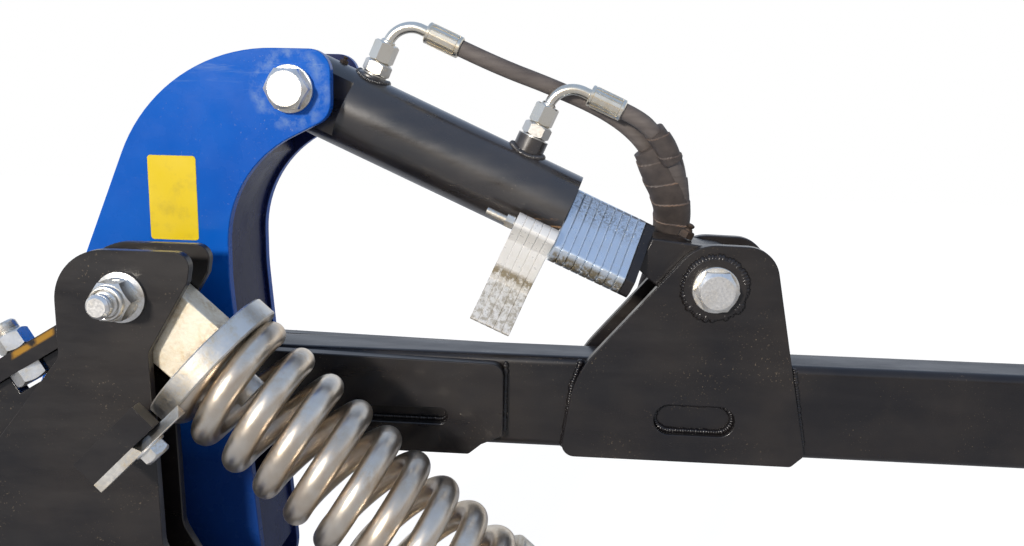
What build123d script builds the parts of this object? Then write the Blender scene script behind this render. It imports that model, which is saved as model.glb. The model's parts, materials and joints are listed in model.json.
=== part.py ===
from build123d import *
import os
from math import atan2, cos, degrees, pi, radians, sin, tan

# Rear roller arm of a stubble cultivator with its hydraulic depth stop, the swan-neck mast
# that carries it, and the sprung tine holder beside it on the same piece of frame tube.
# Frame: X runs back along the arm, Y away from the viewer, Z up. The origin is the centre
# of the frame tube's far flange. A "depth" is the distance from that flange to the viewer,
# so a point at depth d lies at Y = -d.

# frame tube and its flanges
tube_side = 100
tube_wall = 8
tube_corner = 12
tube_beyond_holder = 74
flange_side = 160
flange_thickness = 15
flange_hole_inset = 20
flange_hole_radius = 9

# mast: two swan-neck plates with a web along each edge
mast_centre = 174
mast_gap = 104
mast_plate_thickness = 12
web_thickness = 8
web_inset = 4
spacer_radius = 26
side_clearance = 0.5

# pivots as (x, z)
arm_pivot = (45, 268)
top_pivot = (184, 602.5)
rod_pivot = (628, 406.5)
pivot_bolt_radius = 15
pivot_hole_radius = 15.5
running_clearance = 0.08
rod_eye_play = 1.5
bolt_head_flats = 46
bolt_head_height = 19
nut_height = 24
bolt_tail = 8
nut_bore_clearance = 0.05

# roller arm
arm_height = 105
arm_width = 60
arm_wall = 6
arm_corner = 9
arm_start = 5
arm_end = 1085
fishplate_thickness = 15
bush_radius = 28
bracket_thickness = 12
collar_radius = 33
collar_thickness = 6
end_flange_thickness = 15
end_flange_width = 130
end_flange_height = 175
end_hole_inset = 20
end_hole_radius = 9
fishplate_slot_place = (300, 252)
fishplate_slot_length = 92
fishplate_slot_height = 18
bracket_slot_place = (615.5, 259)
bracket_slot_length = 87
bracket_slot_height = 34

# hydraulic cylinder, lengths along its axis from the top pivot
barrel_radius = 42.5
lug_width = 60
lug_flat_end = 50
barrel_start = 92
barrel_end = 303
bore_start = 150
gland_end = 311.5
rod_radius = 20
rod_start = 160
eye_start = 404.6
eye_radius = 41
eye_side_clearance = 1
eye_neck_half_height = 18
eye_neck_length = 2

# swing-in stop clips on their carrier rod
clip_thickness = 9
clip_gap = 0.15
clips_in_use = 9
clips_spare = 5
clip_start_gap = 0.5
spare_clips_gap = 0.3
stop_plate_thickness = 10
carrier_radius = 4
carrier_start = 234
carrier_across = -54
carrier_height = -27.4
carrier_nut_length = 9
carrier_nut_gap = 1
carrier_nut_flats = 13
clip_bore_clearance = 0.3

# hydraulic fittings
adapter_flats = 27
adapter_height = 15
nipple_radius = 8
nipple_height = 3
swivel_flats = 24
swivel_height = 19
elbow_radius = 28
elbow_tube_radius = 6
ferrule_radius = 11
ferrule_length = 40
hose_radius = 9
coupling_radius = 13
coupling_length = 62

# tine holder: two plates on the frame tube, hanger, spring and lever between them
holder_centre = 322
holder_gap = 38
holder_plate_thickness = 10
hanger_pivot = (51.7, 404.6)
spring_angle = 41.5
hanger_bolt_radius = 12
hanger_bolt_clearance = 0.5
hanger_bolt_reach = 46
hanger_bolt_chamfer = 3
hanger_head_flats = 36
hanger_head_height = 15
hanger_flange_radius = 24.5
hanger_flange_height = 5
hanger_hex_height = 25
hanger_collar_radius = 16.5
hanger_collar_height = 31
hanger_thickness = 34
hanger_width = 73
seat_start = 91
seat_thickness = 22
seat_radius = 73.5
seat_chamfer = 1.5
seat_clearance = 1
spring_outer_radius = 69
wire_radius = 13.5
spring_pitch = 39.3
spring_half_turns = 16
closed_half_turns = 2
closed_rise = 13.75
guide_radius = 16
guide_length = 40
lever_pivot = (112, -38)
lever_pivot_radius = 15
lever_bolt_clearance = 0.3
lever_foot = -105
lever_boss_radius = 38
shank_hole_radius = 9
shank_hole_spacing = 80
pad_half = 45
pad_reach = 464.8

# guard strap: places along it are measured up from the spring's axis
strap_clearance = 2
strap_width = 14
strap_thickness = 9.8
strap_start = 109
strap_lean = 3.8
strap_low = -126.5
strap_high = -18
bevel_low = -72
strap_bolt_place = -63
strap_bolt_radius = 6
strap_bolt_flats = 24
strap_head_height = 13
stub_thickness = 26
stub_low = -126
stub_high = -43
root_high = -88

# front stop plate between the holder plates, and the web under it
stop_slope = 31.2
stop_corner = (-94.3, 327.4)
stop_low = -33
stop_high = 117
stop_thickness = 20
stop_bolt_place = 25
stop_bolt_reach = 30
stop_nut_flats = 30
stop_nut_height = 18
stop_bolt_room = 4
front_web_thickness = 16
front_web_left = -116
front_web_knee = 215
front_web_foot = (-60, -20)

parts_folder = "parts"
os.makedirs(parts_folder, exist_ok=True)

flange_hole_spacing = flange_side - 2 * flange_hole_inset
end_hole_spacing = end_flange_width - 2 * end_hole_inset
end_hole_rise = end_flange_height - 2 * end_hole_inset
mast_far = mast_centre - mast_gap / 2 - mast_plate_thickness
mast_near = mast_centre + mast_gap / 2
holder_far = holder_centre - holder_gap / 2 - holder_plate_thickness
holder_near = holder_centre + holder_gap / 2
holder_front = holder_near + holder_plate_thickness
tube_near_end = holder_front + tube_beyond_holder
arm_far = mast_centre - arm_width / 2
arm_near = mast_centre + arm_width / 2
eye_width = arm_width - 2 * eye_side_clearance
clip_start = gland_end + clip_start_gap
clip_pitch = clip_thickness + clip_gap

cylinder_angle = atan2(top_pivot[1] - rod_pivot[1], rod_pivot[0] - top_pivot[0])
along = (cos(cylinder_angle), -sin(cylinder_angle))
across = (sin(cylinder_angle), cos(cylinder_angle))
pin_to_pin = (rod_pivot[0] - top_pivot[0]) * along[0] + (rod_pivot[1] - top_pivot[1]) * along[1]

spring_along = (cos(radians(spring_angle)), -sin(radians(spring_angle)))
spring_across = (sin(radians(spring_angle)), cos(radians(spring_angle)))


def side_plane(depth):
    # upright plane at a depth, facing the viewer
    return Plane.XZ.offset(depth)


def cylinder_side(depth):
    # side view of the cylinder: x along it from the top pivot, y square to it
    return Plane((top_pivot[0], -depth, top_pivot[1]), x_dir=(along[0], 0, along[1]), z_dir=(0, -1, 0))


def cylinder_section(distance):
    # plane square to the cylinder: x away from the viewer, y square to the axis
    point = (top_pivot[0] + along[0] * distance, -mast_centre, top_pivot[1] + along[1] * distance)
    return Plane(point, x_dir=(0, 1, 0), z_dir=(along[0], 0, along[1]))


def port_plane(distance, height):
    # plane square to a port, at its place along the cylinder and its height above the axis
    point = (
        top_pivot[0] + along[0] * distance + across[0] * height,
        -mast_centre,
        top_pivot[1] + along[1] * distance + across[1] * height,
    )
    return Plane(point, x_dir=(along[0], 0, along[1]), z_dir=(across[0], 0, across[1]))


def spring_side(depth):
    # side view of the spring: x along it from the hanger's pivot, y square to it
    point = (hanger_pivot[0], -depth, hanger_pivot[1])
    return Plane(point, x_dir=(spring_along[0], 0, spring_along[1]), z_dir=(0, -1, 0))


def spring_section(distance, depth=holder_centre):
    # plane square to the spring's axis: x away from the viewer, y square to the axis
    point = (
        hanger_pivot[0] + spring_along[0] * distance,
        -depth,
        hanger_pivot[1] + spring_along[1] * distance,
    )
    return Plane(point, x_dir=(0, 1, 0), z_dir=(spring_along[0], 0, spring_along[1]))


def outline(rows):
    # closed outline from rows of x, z and corner radius
    FilletPolyline(*[(x, z) for x, z, corner in rows], radius=[corner for x, z, corner in rows], close=True)


def save(solid, name):
    solid.label = name
    export_step(solid, os.path.join(parts_folder, name + ".step"))


# Frame tube and flanges
with BuildPart() as frame_tube:
    with BuildSketch(side_plane(flange_thickness)):
        RectangleRounded(tube_side, tube_side, tube_corner)
        RectangleRounded(
            tube_side - 2 * tube_wall, tube_side - 2 * tube_wall, tube_corner - tube_wall, mode=Mode.SUBTRACT
        )
    extrude(amount=tube_near_end - 2 * flange_thickness)
save(frame_tube.part, "frame_tube")

for name, depth in (("frame_flange_far", 0), ("frame_flange_near", tube_near_end - flange_thickness)):
    with BuildPart() as frame_flange:
        with BuildSketch(side_plane(depth)):
            RectangleRounded(flange_side, flange_side, tube_corner)
            with GridLocations(flange_hole_spacing, flange_hole_spacing, 2, 2):
                Circle(flange_hole_radius, mode=Mode.SUBTRACT)
        extrude(amount=flange_thickness)
    save(frame_flange.part, name)

# Mast plates: columns x, z, corner radius
mast_outline = (
    (-105, -75, 15),
    (-125, 235, 40),
    (48, 643, 180),
    (226, 643, 22),
    (226, 575, 25),
    (113, 518, 130),
    (113, 400, 300),
    (142, 40, 60),
    (120, -75, 20),
)
for name, depth in (("mast_plate_far", mast_far), ("mast_plate_near", mast_near)):
    with BuildPart() as mast_plate:
        with BuildSketch(side_plane(depth)):
            with BuildLine():
                outline(mast_outline)
            make_face()
            RectangleRounded(tube_side, tube_side, tube_corner, mode=Mode.SUBTRACT)
            with Locations(arm_pivot, top_pivot):
                Circle(pivot_hole_radius, mode=Mode.SUBTRACT)
        extrude(amount=mast_plate_thickness)
    save(mast_plate.part, name)

# Mast webs: bands inside the plates' outline, each kept within its own polygon of x and z
throat_window = ((70, 345), (70, 500), (90, 560), (150, 560), (150, 345))
foot_window = ((90, 56), (90, 170), (165, 170), (165, 56))
back_window = ((-145, 90), (-145, 660), (118, 660), (118, 600), (40, 540), (0, 90))
mast_webs = (
    ("mast_web_throat", throat_window),
    ("mast_web_foot", foot_window),
    ("mast_web_back", back_window),
)
for name, window in mast_webs:
    with BuildPart() as mast_web:
        with BuildSketch(side_plane(mast_centre - mast_gap / 2)):
            with BuildLine():
                outline(mast_outline)
            make_face()
            offset(amount=-web_inset)
            with BuildSketch(mode=Mode.PRIVATE) as inner:
                with BuildLine():
                    outline(mast_outline)
                make_face()
                offset(amount=-web_inset - web_thickness)
            add(inner.sketch, mode=Mode.SUBTRACT)
            Polygon(*window, align=None, mode=Mode.INTERSECT)
        extrude(amount=mast_gap)
    save(mast_web.part, name)

# Pivot bolts with their heads towards the viewer: columns name, x, z, far face, near face
bolt_rows = (
    ("mast_top_bolt", top_pivot, mast_far, mast_near + mast_plate_thickness),
    ("arm_pivot_bolt", arm_pivot, mast_far, mast_near + mast_plate_thickness),
    (
        "rod_bolt",
        rod_pivot,
        mast_centre - arm_width / 2 - bracket_thickness - collar_thickness,
        mast_centre + arm_width / 2 + bracket_thickness + collar_thickness,
    ),
)
for name, centre, far_face, near_face in bolt_rows:
    with BuildPart() as bolt:
        with BuildSketch(side_plane(far_face - nut_height - bolt_tail)):
            with Locations(centre):
                Circle(pivot_bolt_radius)
        extrude(amount=near_face - far_face + nut_height + bolt_tail)
        with BuildSketch(side_plane(near_face)):
            with Locations(centre):
                RegularPolygon(bolt_head_flats / 2, 6, major_radius=False)
        extrude(amount=bolt_head_height)
    save(bolt.part, name)
    with BuildPart() as nut:
        with BuildSketch(side_plane(far_face - nut_height)):
            with Locations(centre):
                RegularPolygon(bolt_head_flats / 2, 6, major_radius=False)
                Circle(pivot_bolt_radius + nut_bore_clearance, mode=Mode.SUBTRACT)
        extrude(amount=nut_height)
    save(nut.part, name.replace("_bolt", "_nut"))

# Spacers that centre the cylinder's base lug between the mast plates
with BuildPart() as top_spacers:
    for depth in (mast_centre - mast_gap / 2, mast_centre + lug_width / 2 + side_clearance):
        with BuildSketch(side_plane(depth)):
            with Locations(top_pivot):
                Circle(spacer_radius)
                Circle(pivot_hole_radius, mode=Mode.SUBTRACT)
        extrude(amount=(mast_gap - lug_width) / 2 - side_clearance)
save(top_spacers.part, "top_spacers")

# Roller arm
with BuildPart() as arm_tube:
    with BuildSketch(Plane.YZ.offset(arm_start)):
        with Locations((-mast_centre, arm_pivot[1])):
            RectangleRounded(arm_width, arm_height, arm_corner)
            RectangleRounded(
                arm_width - 2 * arm_wall, arm_height - 2 * arm_wall, arm_corner - arm_wall, mode=Mode.SUBTRACT
            )
    extrude(amount=arm_end - arm_start)
    with BuildSketch(side_plane(arm_far)):
        with Locations(arm_pivot):
            Circle(bush_radius)
    extrude(amount=arm_width, mode=Mode.SUBTRACT)
save(arm_tube.part, "arm_tube")

fishplate_outline = (
    (-15, 209, 50),
    (-15, 322, 50),
    (150, 319, 20),
    (407, 314, 14),
    (408, 232, 0),
    (384, 221, 0),
    (370, 209, 6),
)
for name, depth in (("arm_fishplate_far", arm_far - fishplate_thickness), ("arm_fishplate_near", arm_near)):
    with BuildPart() as fishplate:
        with BuildSketch(side_plane(depth)):
            with BuildLine():
                outline(fishplate_outline)
            make_face()
            with Locations(arm_pivot):
                Circle(bush_radius, mode=Mode.SUBTRACT)
            with Locations(fishplate_slot_place):
                SlotOverall(fishplate_slot_length, fishplate_slot_height, mode=Mode.SUBTRACT)
        extrude(amount=fishplate_thickness)
    save(fishplate.part, name)

with BuildPart() as arm_bush:
    with BuildSketch(side_plane(mast_centre - mast_gap / 2 + side_clearance)):
        with Locations(arm_pivot):
            Circle(bush_radius)
            Circle(pivot_bolt_radius + running_clearance, mode=Mode.SUBTRACT)
    extrude(amount=mast_gap - 2 * side_clearance)
save(arm_bush.part, "arm_bush")

bracket_outline = (
    (471, 211, 14),
    (484, 305, 110),
    (608, 452.5, 45),
    (688.5, 451, 35),
    (735.5, 224, 6),
    (722, 211, 6),
)
for name, depth in (("arm_bracket_far", arm_far - bracket_thickness), ("arm_bracket_near", arm_near)):
    with BuildPart() as bracket:
        with BuildSketch(side_plane(depth)):
            with BuildLine():
                outline(bracket_outline)
            make_face()
            with Locations(rod_pivot):
                Circle(pivot_hole_radius, mode=Mode.SUBTRACT)
            with Locations(bracket_slot_place):
                SlotOverall(bracket_slot_length, bracket_slot_height, mode=Mode.SUBTRACT)
        extrude(amount=bracket_thickness)
    save(bracket.part, name)

with BuildPart() as bracket_collars:
    for depth in (arm_far - bracket_thickness - collar_thickness, arm_near + bracket_thickness):
        with BuildSketch(side_plane(depth)):
            with Locations(rod_pivot):
                Circle(collar_radius)
                Circle(pivot_hole_radius, mode=Mode.SUBTRACT)
        extrude(amount=collar_thickness)
save(bracket_collars.part, "bracket_collars")

with BuildPart() as arm_end_flange:
    with BuildSketch(Plane.YZ.offset(arm_end)):
        with Locations((-mast_centre, arm_pivot[1])):
            RectangleRounded(end_flange_width, end_flange_height, arm_corner)
            with GridLocations(end_hole_spacing, end_hole_rise, 2, 2):
                Circle(end_hole_radius, mode=Mode.SUBTRACT)
    extrude(amount=end_flange_thickness)
save(arm_end_flange.part, "arm_end_flange")

# Cylinder: round base with flats milled at its lug, and the first port's boss
lug_far = mast_centre - lug_width / 2
port_rows = (
    # name, place along the cylinder, boss radius, boss top, elbow height, ferrule start
    ("base", 60, 16, 45, 110, 93.5),
    ("rod", 244.3, 17, 58.5, 124.4, 279),
)
with BuildPart() as cylinder_base:
    with BuildSketch(cylinder_side(lug_far)):
        Circle(barrel_radius)
        with Locations((lug_flat_end / 2, 0)):
            Rectangle(lug_flat_end, 2 * barrel_radius)
    extrude(amount=lug_width)
    with BuildSketch(cylinder_section(-barrel_radius)):
        Circle(barrel_radius)
    extrude(amount=barrel_radius + lug_flat_end, mode=Mode.INTERSECT)
    with BuildSketch(cylinder_section(lug_flat_end)):
        Circle(barrel_radius)
    extrude(amount=barrel_start - lug_flat_end)
    with BuildSketch(port_plane(port_rows[0][1], barrel_radius / 2)):
        Circle(port_rows[0][2])
    extrude(amount=port_rows[0][3] - barrel_radius / 2)
    with BuildSketch(cylinder_side(lug_far)):
        Circle(pivot_bolt_radius + running_clearance)
    extrude(amount=lug_width, mode=Mode.SUBTRACT)
save(cylinder_base.part, "cylinder_base")

with BuildPart() as cylinder_barrel:
    with BuildSketch(cylinder_section(barrel_start)):
        Circle(barrel_radius)
    extrude(amount=barrel_end - barrel_start)
    with BuildSketch(port_plane(port_rows[1][1], barrel_radius / 2)):
        Circle(port_rows[1][2])
    extrude(amount=port_rows[1][3] - barrel_radius / 2)
    with BuildSketch(cylinder_section(bore_start)):
        Circle(rod_radius + running_clearance)
    extrude(amount=barrel_end - bore_start, mode=Mode.SUBTRACT)
save(cylinder_barrel.part, "cylinder_barrel")

with BuildPart() as cylinder_gland:
    with BuildSketch(cylinder_section(barrel_end)):
        Circle(barrel_radius)
        Circle(rod_radius + running_clearance, mode=Mode.SUBTRACT)
    extrude(amount=gland_end - barrel_end)
save(cylinder_gland.part, "cylinder_gland")

# Port adapters, and hose ends with their swivel nut, elbow and ferrule
for port_name, place, boss_radius, boss_top, elbow_height, ferrule_start in port_rows:
    nut_start = boss_top + adapter_height + nipple_height
    with BuildPart() as adapter:
        with BuildSketch(port_plane(place, boss_top)):
            RegularPolygon(adapter_flats / 2, 6, major_radius=False)
        extrude(amount=adapter_height)
        with BuildSketch(port_plane(place, boss_top + adapter_height)):
            Circle(nipple_radius)
        extrude(amount=nipple_height)
    save(adapter.part, "adapter_" + port_name)
    with BuildPart() as hose_end:
        with BuildSketch(port_plane(place, nut_start)):
            RegularPolygon(swivel_flats / 2, 6, major_radius=False)
        extrude(amount=swivel_height)
        with BuildLine(cylinder_side(mast_centre)) as elbow_path:
            Line((place, nut_start), (place, elbow_height - elbow_radius))
            RadiusArc(
                (place, elbow_height - elbow_radius), (place + elbow_radius, elbow_height), elbow_radius
            )
            Line((place + elbow_radius, elbow_height), (ferrule_start + 1, elbow_height))
        with BuildSketch(port_plane(place, nut_start)):
            Circle(elbow_tube_radius)
        sweep(path=elbow_path.wires()[0])
        ferrule_plane = cylinder_section(ferrule_start)
        ferrule_plane.origin += Vector(across[0] * elbow_height, 0, across[1] * elbow_height)
        with BuildSketch(ferrule_plane):
            Circle(ferrule_radius)
        extrude(amount=ferrule_length)
    save(hose_end.part, "hose_end_" + port_name)

# Piston rod, eye and stop plate
with BuildPart() as piston_rod:
    with BuildSketch(cylinder_section(rod_start)):
        Circle(rod_radius)
    extrude(amount=eye_start - rod_start)
save(piston_rod.part, "piston_rod")

with BuildPart() as rod_eye:
    with BuildSketch(cylinder_side(mast_centre - eye_width / 2)):
        with Locations((pin_to_pin, 0)):
            Circle(eye_radius)
        with Locations((eye_start + eye_neck_length / 2, 0)):
            Rectangle(eye_neck_length, 2 * eye_neck_half_height)
        make_hull()
        with Locations((pin_to_pin, 0)):
            Circle(pivot_bolt_radius + rod_eye_play, mode=Mode.SUBTRACT)
    extrude(amount=eye_width)
save(rod_eye.part, "rod_eye")

# Clip profile, square to the cylinder: columns across (away from the viewer), height, corner radius
clip_outline = (
    (-66.5, -28, 5),
    (-63, -47, 14),
    (-45.5, -48, 5),
    (-41.5, -12.7, 4),
    (-3.9, 22.8, 3),
    (46.5, 18.4, 1.5),
    (47, 24.4, 1.5),
    (-6, 29, 9),
)
with BuildSketch() as clip_face:
    with BuildLine():
        outline(clip_outline)
    make_face()
    Circle(rod_radius + clip_bore_clearance, mode=Mode.SUBTRACT)
    with Locations((carrier_across, carrier_height)):
        Circle(carrier_radius + clip_bore_clearance, mode=Mode.SUBTRACT)

with BuildPart() as stop_clips:
    for number in range(clips_in_use):
        with BuildSketch(cylinder_section(clip_start + number * clip_pitch)):
            add(clip_face.sketch)
        extrude(amount=clip_thickness)
save(stop_clips.part, "stop_clips")

# The spare clips hang from the carrier rod, with their weight below it
balance = clip_face.sketch.center()
hang_turn = -90 - degrees(atan2(balance.Y - carrier_height, balance.X - carrier_across))
spare_start = clip_start - clips_spare * clip_pitch - spare_clips_gap
with BuildPart() as spare_clips:
    for number in range(clips_spare):
        with BuildSketch(cylinder_section(spare_start + number * clip_pitch)):
            add(clip_face.sketch)
        extrude(amount=clip_thickness)
carrier_axis = Axis(
    cylinder_section(0).from_local_coords((carrier_across, carrier_height, 0)), (along[0], 0, along[1])
)
spare_clips_part = spare_clips.part.rotate(carrier_axis, hang_turn)
save(spare_clips_part, "spare_clips")

with BuildPart() as stop_plate:
    with BuildSketch(cylinder_section(eye_start - stop_plate_thickness)):
        with BuildLine():
            outline(clip_outline[:3] + ((30, -48, 12), (40, 22, 6), clip_outline[-1]))
        make_face()
        Circle(rod_radius, mode=Mode.SUBTRACT)
        with Locations((carrier_across, carrier_height)):
            Circle(carrier_radius, mode=Mode.SUBTRACT)
    extrude(amount=stop_plate_thickness)
save(stop_plate.part, "stop_plate")

with BuildPart() as clip_carrier:
    with BuildSketch(cylinder_section(carrier_start)):
        with Locations((carrier_across, carrier_height)):
            Circle(carrier_radius)
    extrude(amount=eye_start - carrier_start)
    with BuildSketch(cylinder_section(spare_start - carrier_nut_gap - carrier_nut_length)):
        with Locations((carrier_across, carrier_height)):
            RegularPolygon(carrier_nut_flats / 2, 6, major_radius=False)
    extrude(amount=carrier_nut_length)
save(clip_carrier.part, "clip_carrier")

# Hoses: route points as x, depth, z, from each ferrule down behind the arm bracket


def ferrule_end(row, beyond=0):
    # point on a ferrule's axis, at its end or beyond it
    place, height = row[5] + ferrule_length + beyond, row[4]
    return (
        top_pivot[0] + along[0] * place + across[0] * height,
        -mast_centre,
        top_pivot[1] + along[1] * place + across[1] * height,
    )


hose_routes = (
    (
        "hose_base",
        port_rows[0],
        45,
        (
            (447, 158, 612),
            (505, 152, 587),
            (541, 149, 559),
            (563, 140, 529),
            (575.5, 127, 494),
            (580, 112, 455),
            (573, 97, 410),
            (563, 88, 368),
            (556, 85, 332),
        ),
    ),
    (
        "hose_rod",
        port_rows[1],
        20,
        (
            (560.2, 170, 567.2),
            (573.2, 162, 551.8),
            (584.5, 152, 532.5),
            (594.5, 139, 508.5),
            (600, 123, 482),
            (600.5, 105, 455),
            (593, 90, 412),
            (588, 86, 372),
            (586, 84, 338),
        ),
    ),
)
for name, port, first_run, route in hose_routes:
    points = [Vector(*ferrule_end(port)), Vector(*ferrule_end(port, first_run))]
    points += [Vector(x, -depth, z) for x, depth, z in route]
    radii = []
    for before, corner, after in zip(points, points[1:], points[2:]):
        turn = (corner - before).get_angle(after - corner)
        shorter = min((corner - before).length, (after - corner).length)
        radii.append(0.45 * shorter / tan(radians(turn / 2)))
    print(name, "radii", [round(value) for value in radii])
    with BuildPart() as hose:
        with BuildLine() as hose_path:
            FilletPolyline(*points, radius=radii)
        with BuildSketch(Plane(points[0], z_dir=points[1] - points[0])):
            Circle(hose_radius)
        sweep(path=hose_path.wires()[0])
    hose_length = hose_path.wires()[0].length
    print(name, "length", round(hose_length, 1))
    print(name, "volume ratio", round(hose.part.volume / (pi * hose_radius**2 * hose_length), 4))
    save(hose.part, name)
    with BuildPart() as coupling:
        with BuildSketch(Plane(points[-1], z_dir=points[-1] - points[-2])):
            Circle(coupling_radius)
        extrude(amount=coupling_length)
    save(coupling.part, name.replace("hose_", "coupling_"))

# Tine holder plates: columns x, z, corner radius
holder_outline = (
    (-95, -90, 20),
    (-110, 222, 20),
    (-15, 342, 15),
    (-15, 449.5, 52),
    (122, 449.5, 14),
    (117, 421, 6),
    (75, 350, 16),
    (79, 150, 30),
    (150, 20, 30),
    (160, -90, 40),
)
for name, depth in (("holder_plate_far", holder_far), ("holder_plate_near", holder_near)):
    with BuildPart() as holder_plate:
        with BuildSketch(side_plane(depth)):
            with BuildLine():
                outline(holder_outline)
            make_face()
            RectangleRounded(tube_side, tube_side, tube_corner, mode=Mode.SUBTRACT)
            with Locations(hanger_pivot):
                Circle(hanger_bolt_radius + hanger_bolt_clearance, mode=Mode.SUBTRACT)
            with Locations(lever_pivot):
                Circle(pivot_hole_radius, mode=Mode.SUBTRACT)
        extrude(amount=holder_plate_thickness)
        with BuildSketch(spring_side(depth)):
            with Locations((seat_start + seat_thickness / 2, 0)):
                Rectangle(seat_thickness + 2 * seat_clearance, 2 * (seat_radius + seat_clearance))
        extrude(amount=holder_plate_thickness, mode=Mode.SUBTRACT)
    save(holder_plate.part, name)

# Hanger bolt: head behind, flange nut with its locking collar and the thread's end towards the viewer
with BuildPart() as hanger_bolt:
    with BuildSketch(side_plane(holder_far)):
        with Locations(hanger_pivot):
            Circle(hanger_bolt_radius)
    extrude(amount=holder_front - holder_far + hanger_bolt_reach)
    chamfer(hanger_bolt.faces().sort_by(Axis.Y)[0].edges(), hanger_bolt_chamfer)
    with BuildSketch(side_plane(holder_far - hanger_head_height)):
        with Locations(hanger_pivot):
            RegularPolygon(hanger_head_flats / 2, 6, major_radius=False)
    extrude(amount=hanger_head_height)
save(hanger_bolt.part, "hanger_bolt")

with BuildPart() as hanger_nut:
    with BuildSketch(side_plane(holder_front)):
        with Locations(hanger_pivot):
            Circle(hanger_flange_radius)
    extrude(amount=hanger_flange_height)
    with BuildSketch(side_plane(holder_front)):
        with Locations(hanger_pivot):
            RegularPolygon(hanger_head_flats / 2, 6, major_radius=False)
    extrude(amount=hanger_hex_height)
    with BuildSketch(side_plane(holder_front)):
        with Locations(hanger_pivot):
            Circle(hanger_collar_radius)
    extrude(amount=hanger_collar_height)
    with BuildSketch(side_plane(holder_front)):
        with Locations(hanger_pivot):
            Circle(hanger_bolt_radius + nut_bore_clearance)
    extrude(amount=hanger_collar_height, mode=Mode.SUBTRACT)
save(hanger_nut.part, "hanger_nut")

with BuildPart() as spring_hanger:
    with BuildSketch(spring_side(holder_centre - hanger_thickness / 2)):
        Circle(hanger_width / 2)
        with Locations((seat_start / 2, 0)):
            Rectangle(seat_start, hanger_width)
        Circle(hanger_bolt_radius + hanger_bolt_clearance, mode=Mode.SUBTRACT)
    extrude(amount=hanger_thickness)
save(spring_hanger.part, "spring_hanger")

with BuildPart() as spring_seat:
    with BuildSketch(spring_section(seat_start)):
        Circle(seat_radius)
    extrude(amount=seat_thickness)
    chamfer(spring_seat.edges().filter_by(GeomType.CIRCLE), seat_chamfer)
save(spring_seat.part, "spring_seat")

with BuildPart() as spring_guide:
    with BuildSketch(spring_section(seat_start + seat_thickness)):
        Circle(guide_radius)
    extrude(amount=guide_length)
save(spring_guide.part, "spring_guide")

# Coil spring: half turns, each a flat arc that starts and ends square to the axis.
# The end coils close up and are ground flat where they meet the seats.
coil_radius = spring_outer_radius - wire_radius
upper_face = seat_start + seat_thickness
lower_seat_start = upper_face + spring_half_turns * spring_pitch / 2 + 2 * wire_radius
half_turn_rises = (
    [closed_rise] * closed_half_turns + [spring_pitch / 2] * spring_half_turns + [closed_rise] * closed_half_turns
)
coil_frame = spring_section(0)
with BuildPart() as coil_spring:
    with BuildLine() as coil_path:
        place = upper_face + wire_radius - closed_half_turns * closed_rise
        for number, rise in enumerate(half_turn_rises):
            side = 1 if number % 2 == 0 else -1
            ThreePointArc(
                coil_frame.from_local_coords((0, side * coil_radius, place)),
                coil_frame.from_local_coords((-side * coil_radius, 0, place + rise / 2)),
                coil_frame.from_local_coords((0, -side * coil_radius, place + rise)),
            )
            place += rise
    with BuildSketch(Plane(coil_path.wires()[0] @ 0, z_dir=coil_path.wires()[0] % 0)):
        Circle(wire_radius)
    sweep(path=coil_path.wires()[0])
    with BuildSketch(spring_section(upper_face)):
        Circle(2 * coil_radius)
    extrude(amount=lower_seat_start - upper_face, mode=Mode.INTERSECT)
save(coil_spring.part, "coil_spring")

with BuildPart() as lower_seat:
    with BuildSketch(spring_section(lower_seat_start)):
        Circle(seat_radius)
    extrude(amount=seat_thickness)
    chamfer(lower_seat.edges().filter_by(GeomType.CIRCLE), seat_chamfer)
save(lower_seat.part, "lower_seat")

# Tine lever between the holder plates: pad under the spring, pivot boss and shank foot
lever_end = lower_seat_start + seat_thickness
pad_centre = (
    hanger_pivot[0] + spring_along[0] * lever_end,
    hanger_pivot[1] + spring_along[1] * lever_end,
)
# the lever's spring end is drawn for a pad at its reach, and follows the pad from there
pad_shift = (spring_along[0] * (lever_end - pad_reach), spring_along[1] * (lever_end - pad_reach))
lever_outline = (
    (pad_centre[0] + spring_across[0] * pad_half, pad_centre[1] + spring_across[1] * pad_half, 0),
    (pad_centre[0] - spring_across[0] * pad_half, pad_centre[1] - spring_across[1] * pad_half, 0),
    (322 + pad_shift[0], 2 + pad_shift[1], 25),
    (165, -30, 30),
    (86, -5, 20),
    (72, -60, 20),
    (72, -215, 15),
    (152, -215, 15),
    (152, -130, 30),
    (340 + pad_shift[0], -85 + pad_shift[1], 40),
    (455 + pad_shift[0], 40 + pad_shift[1], 30),
)
with BuildPart() as tine_lever:
    with BuildSketch(side_plane(holder_centre - hanger_thickness / 2)):
        with BuildLine():
            outline(lever_outline)
        make_face()
        with Locations(lever_pivot):
            Circle(lever_boss_radius)
        with Locations(lever_pivot):
            Circle(lever_pivot_radius + lever_bolt_clearance, mode=Mode.SUBTRACT)
        with Locations((lever_pivot[0], lever_foot), (lever_pivot[0], lever_foot - shank_hole_spacing)):
            Circle(shank_hole_radius, mode=Mode.SUBTRACT)
    extrude(amount=hanger_thickness)
save(tine_lever.part, "tine_lever")

with BuildPart() as lever_bolt:
    with BuildSketch(side_plane(holder_far - nut_height - bolt_tail)):
        with Locations(lever_pivot):
            Circle(lever_pivot_radius)
    extrude(amount=holder_front - holder_far + nut_height + bolt_tail)
    with BuildSketch(side_plane(holder_front)):
        with Locations(lever_pivot):
            RegularPolygon(bolt_head_flats / 2, 6, major_radius=False)
    extrude(amount=bolt_head_height)
save(lever_bolt.part, "lever_bolt")

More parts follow.
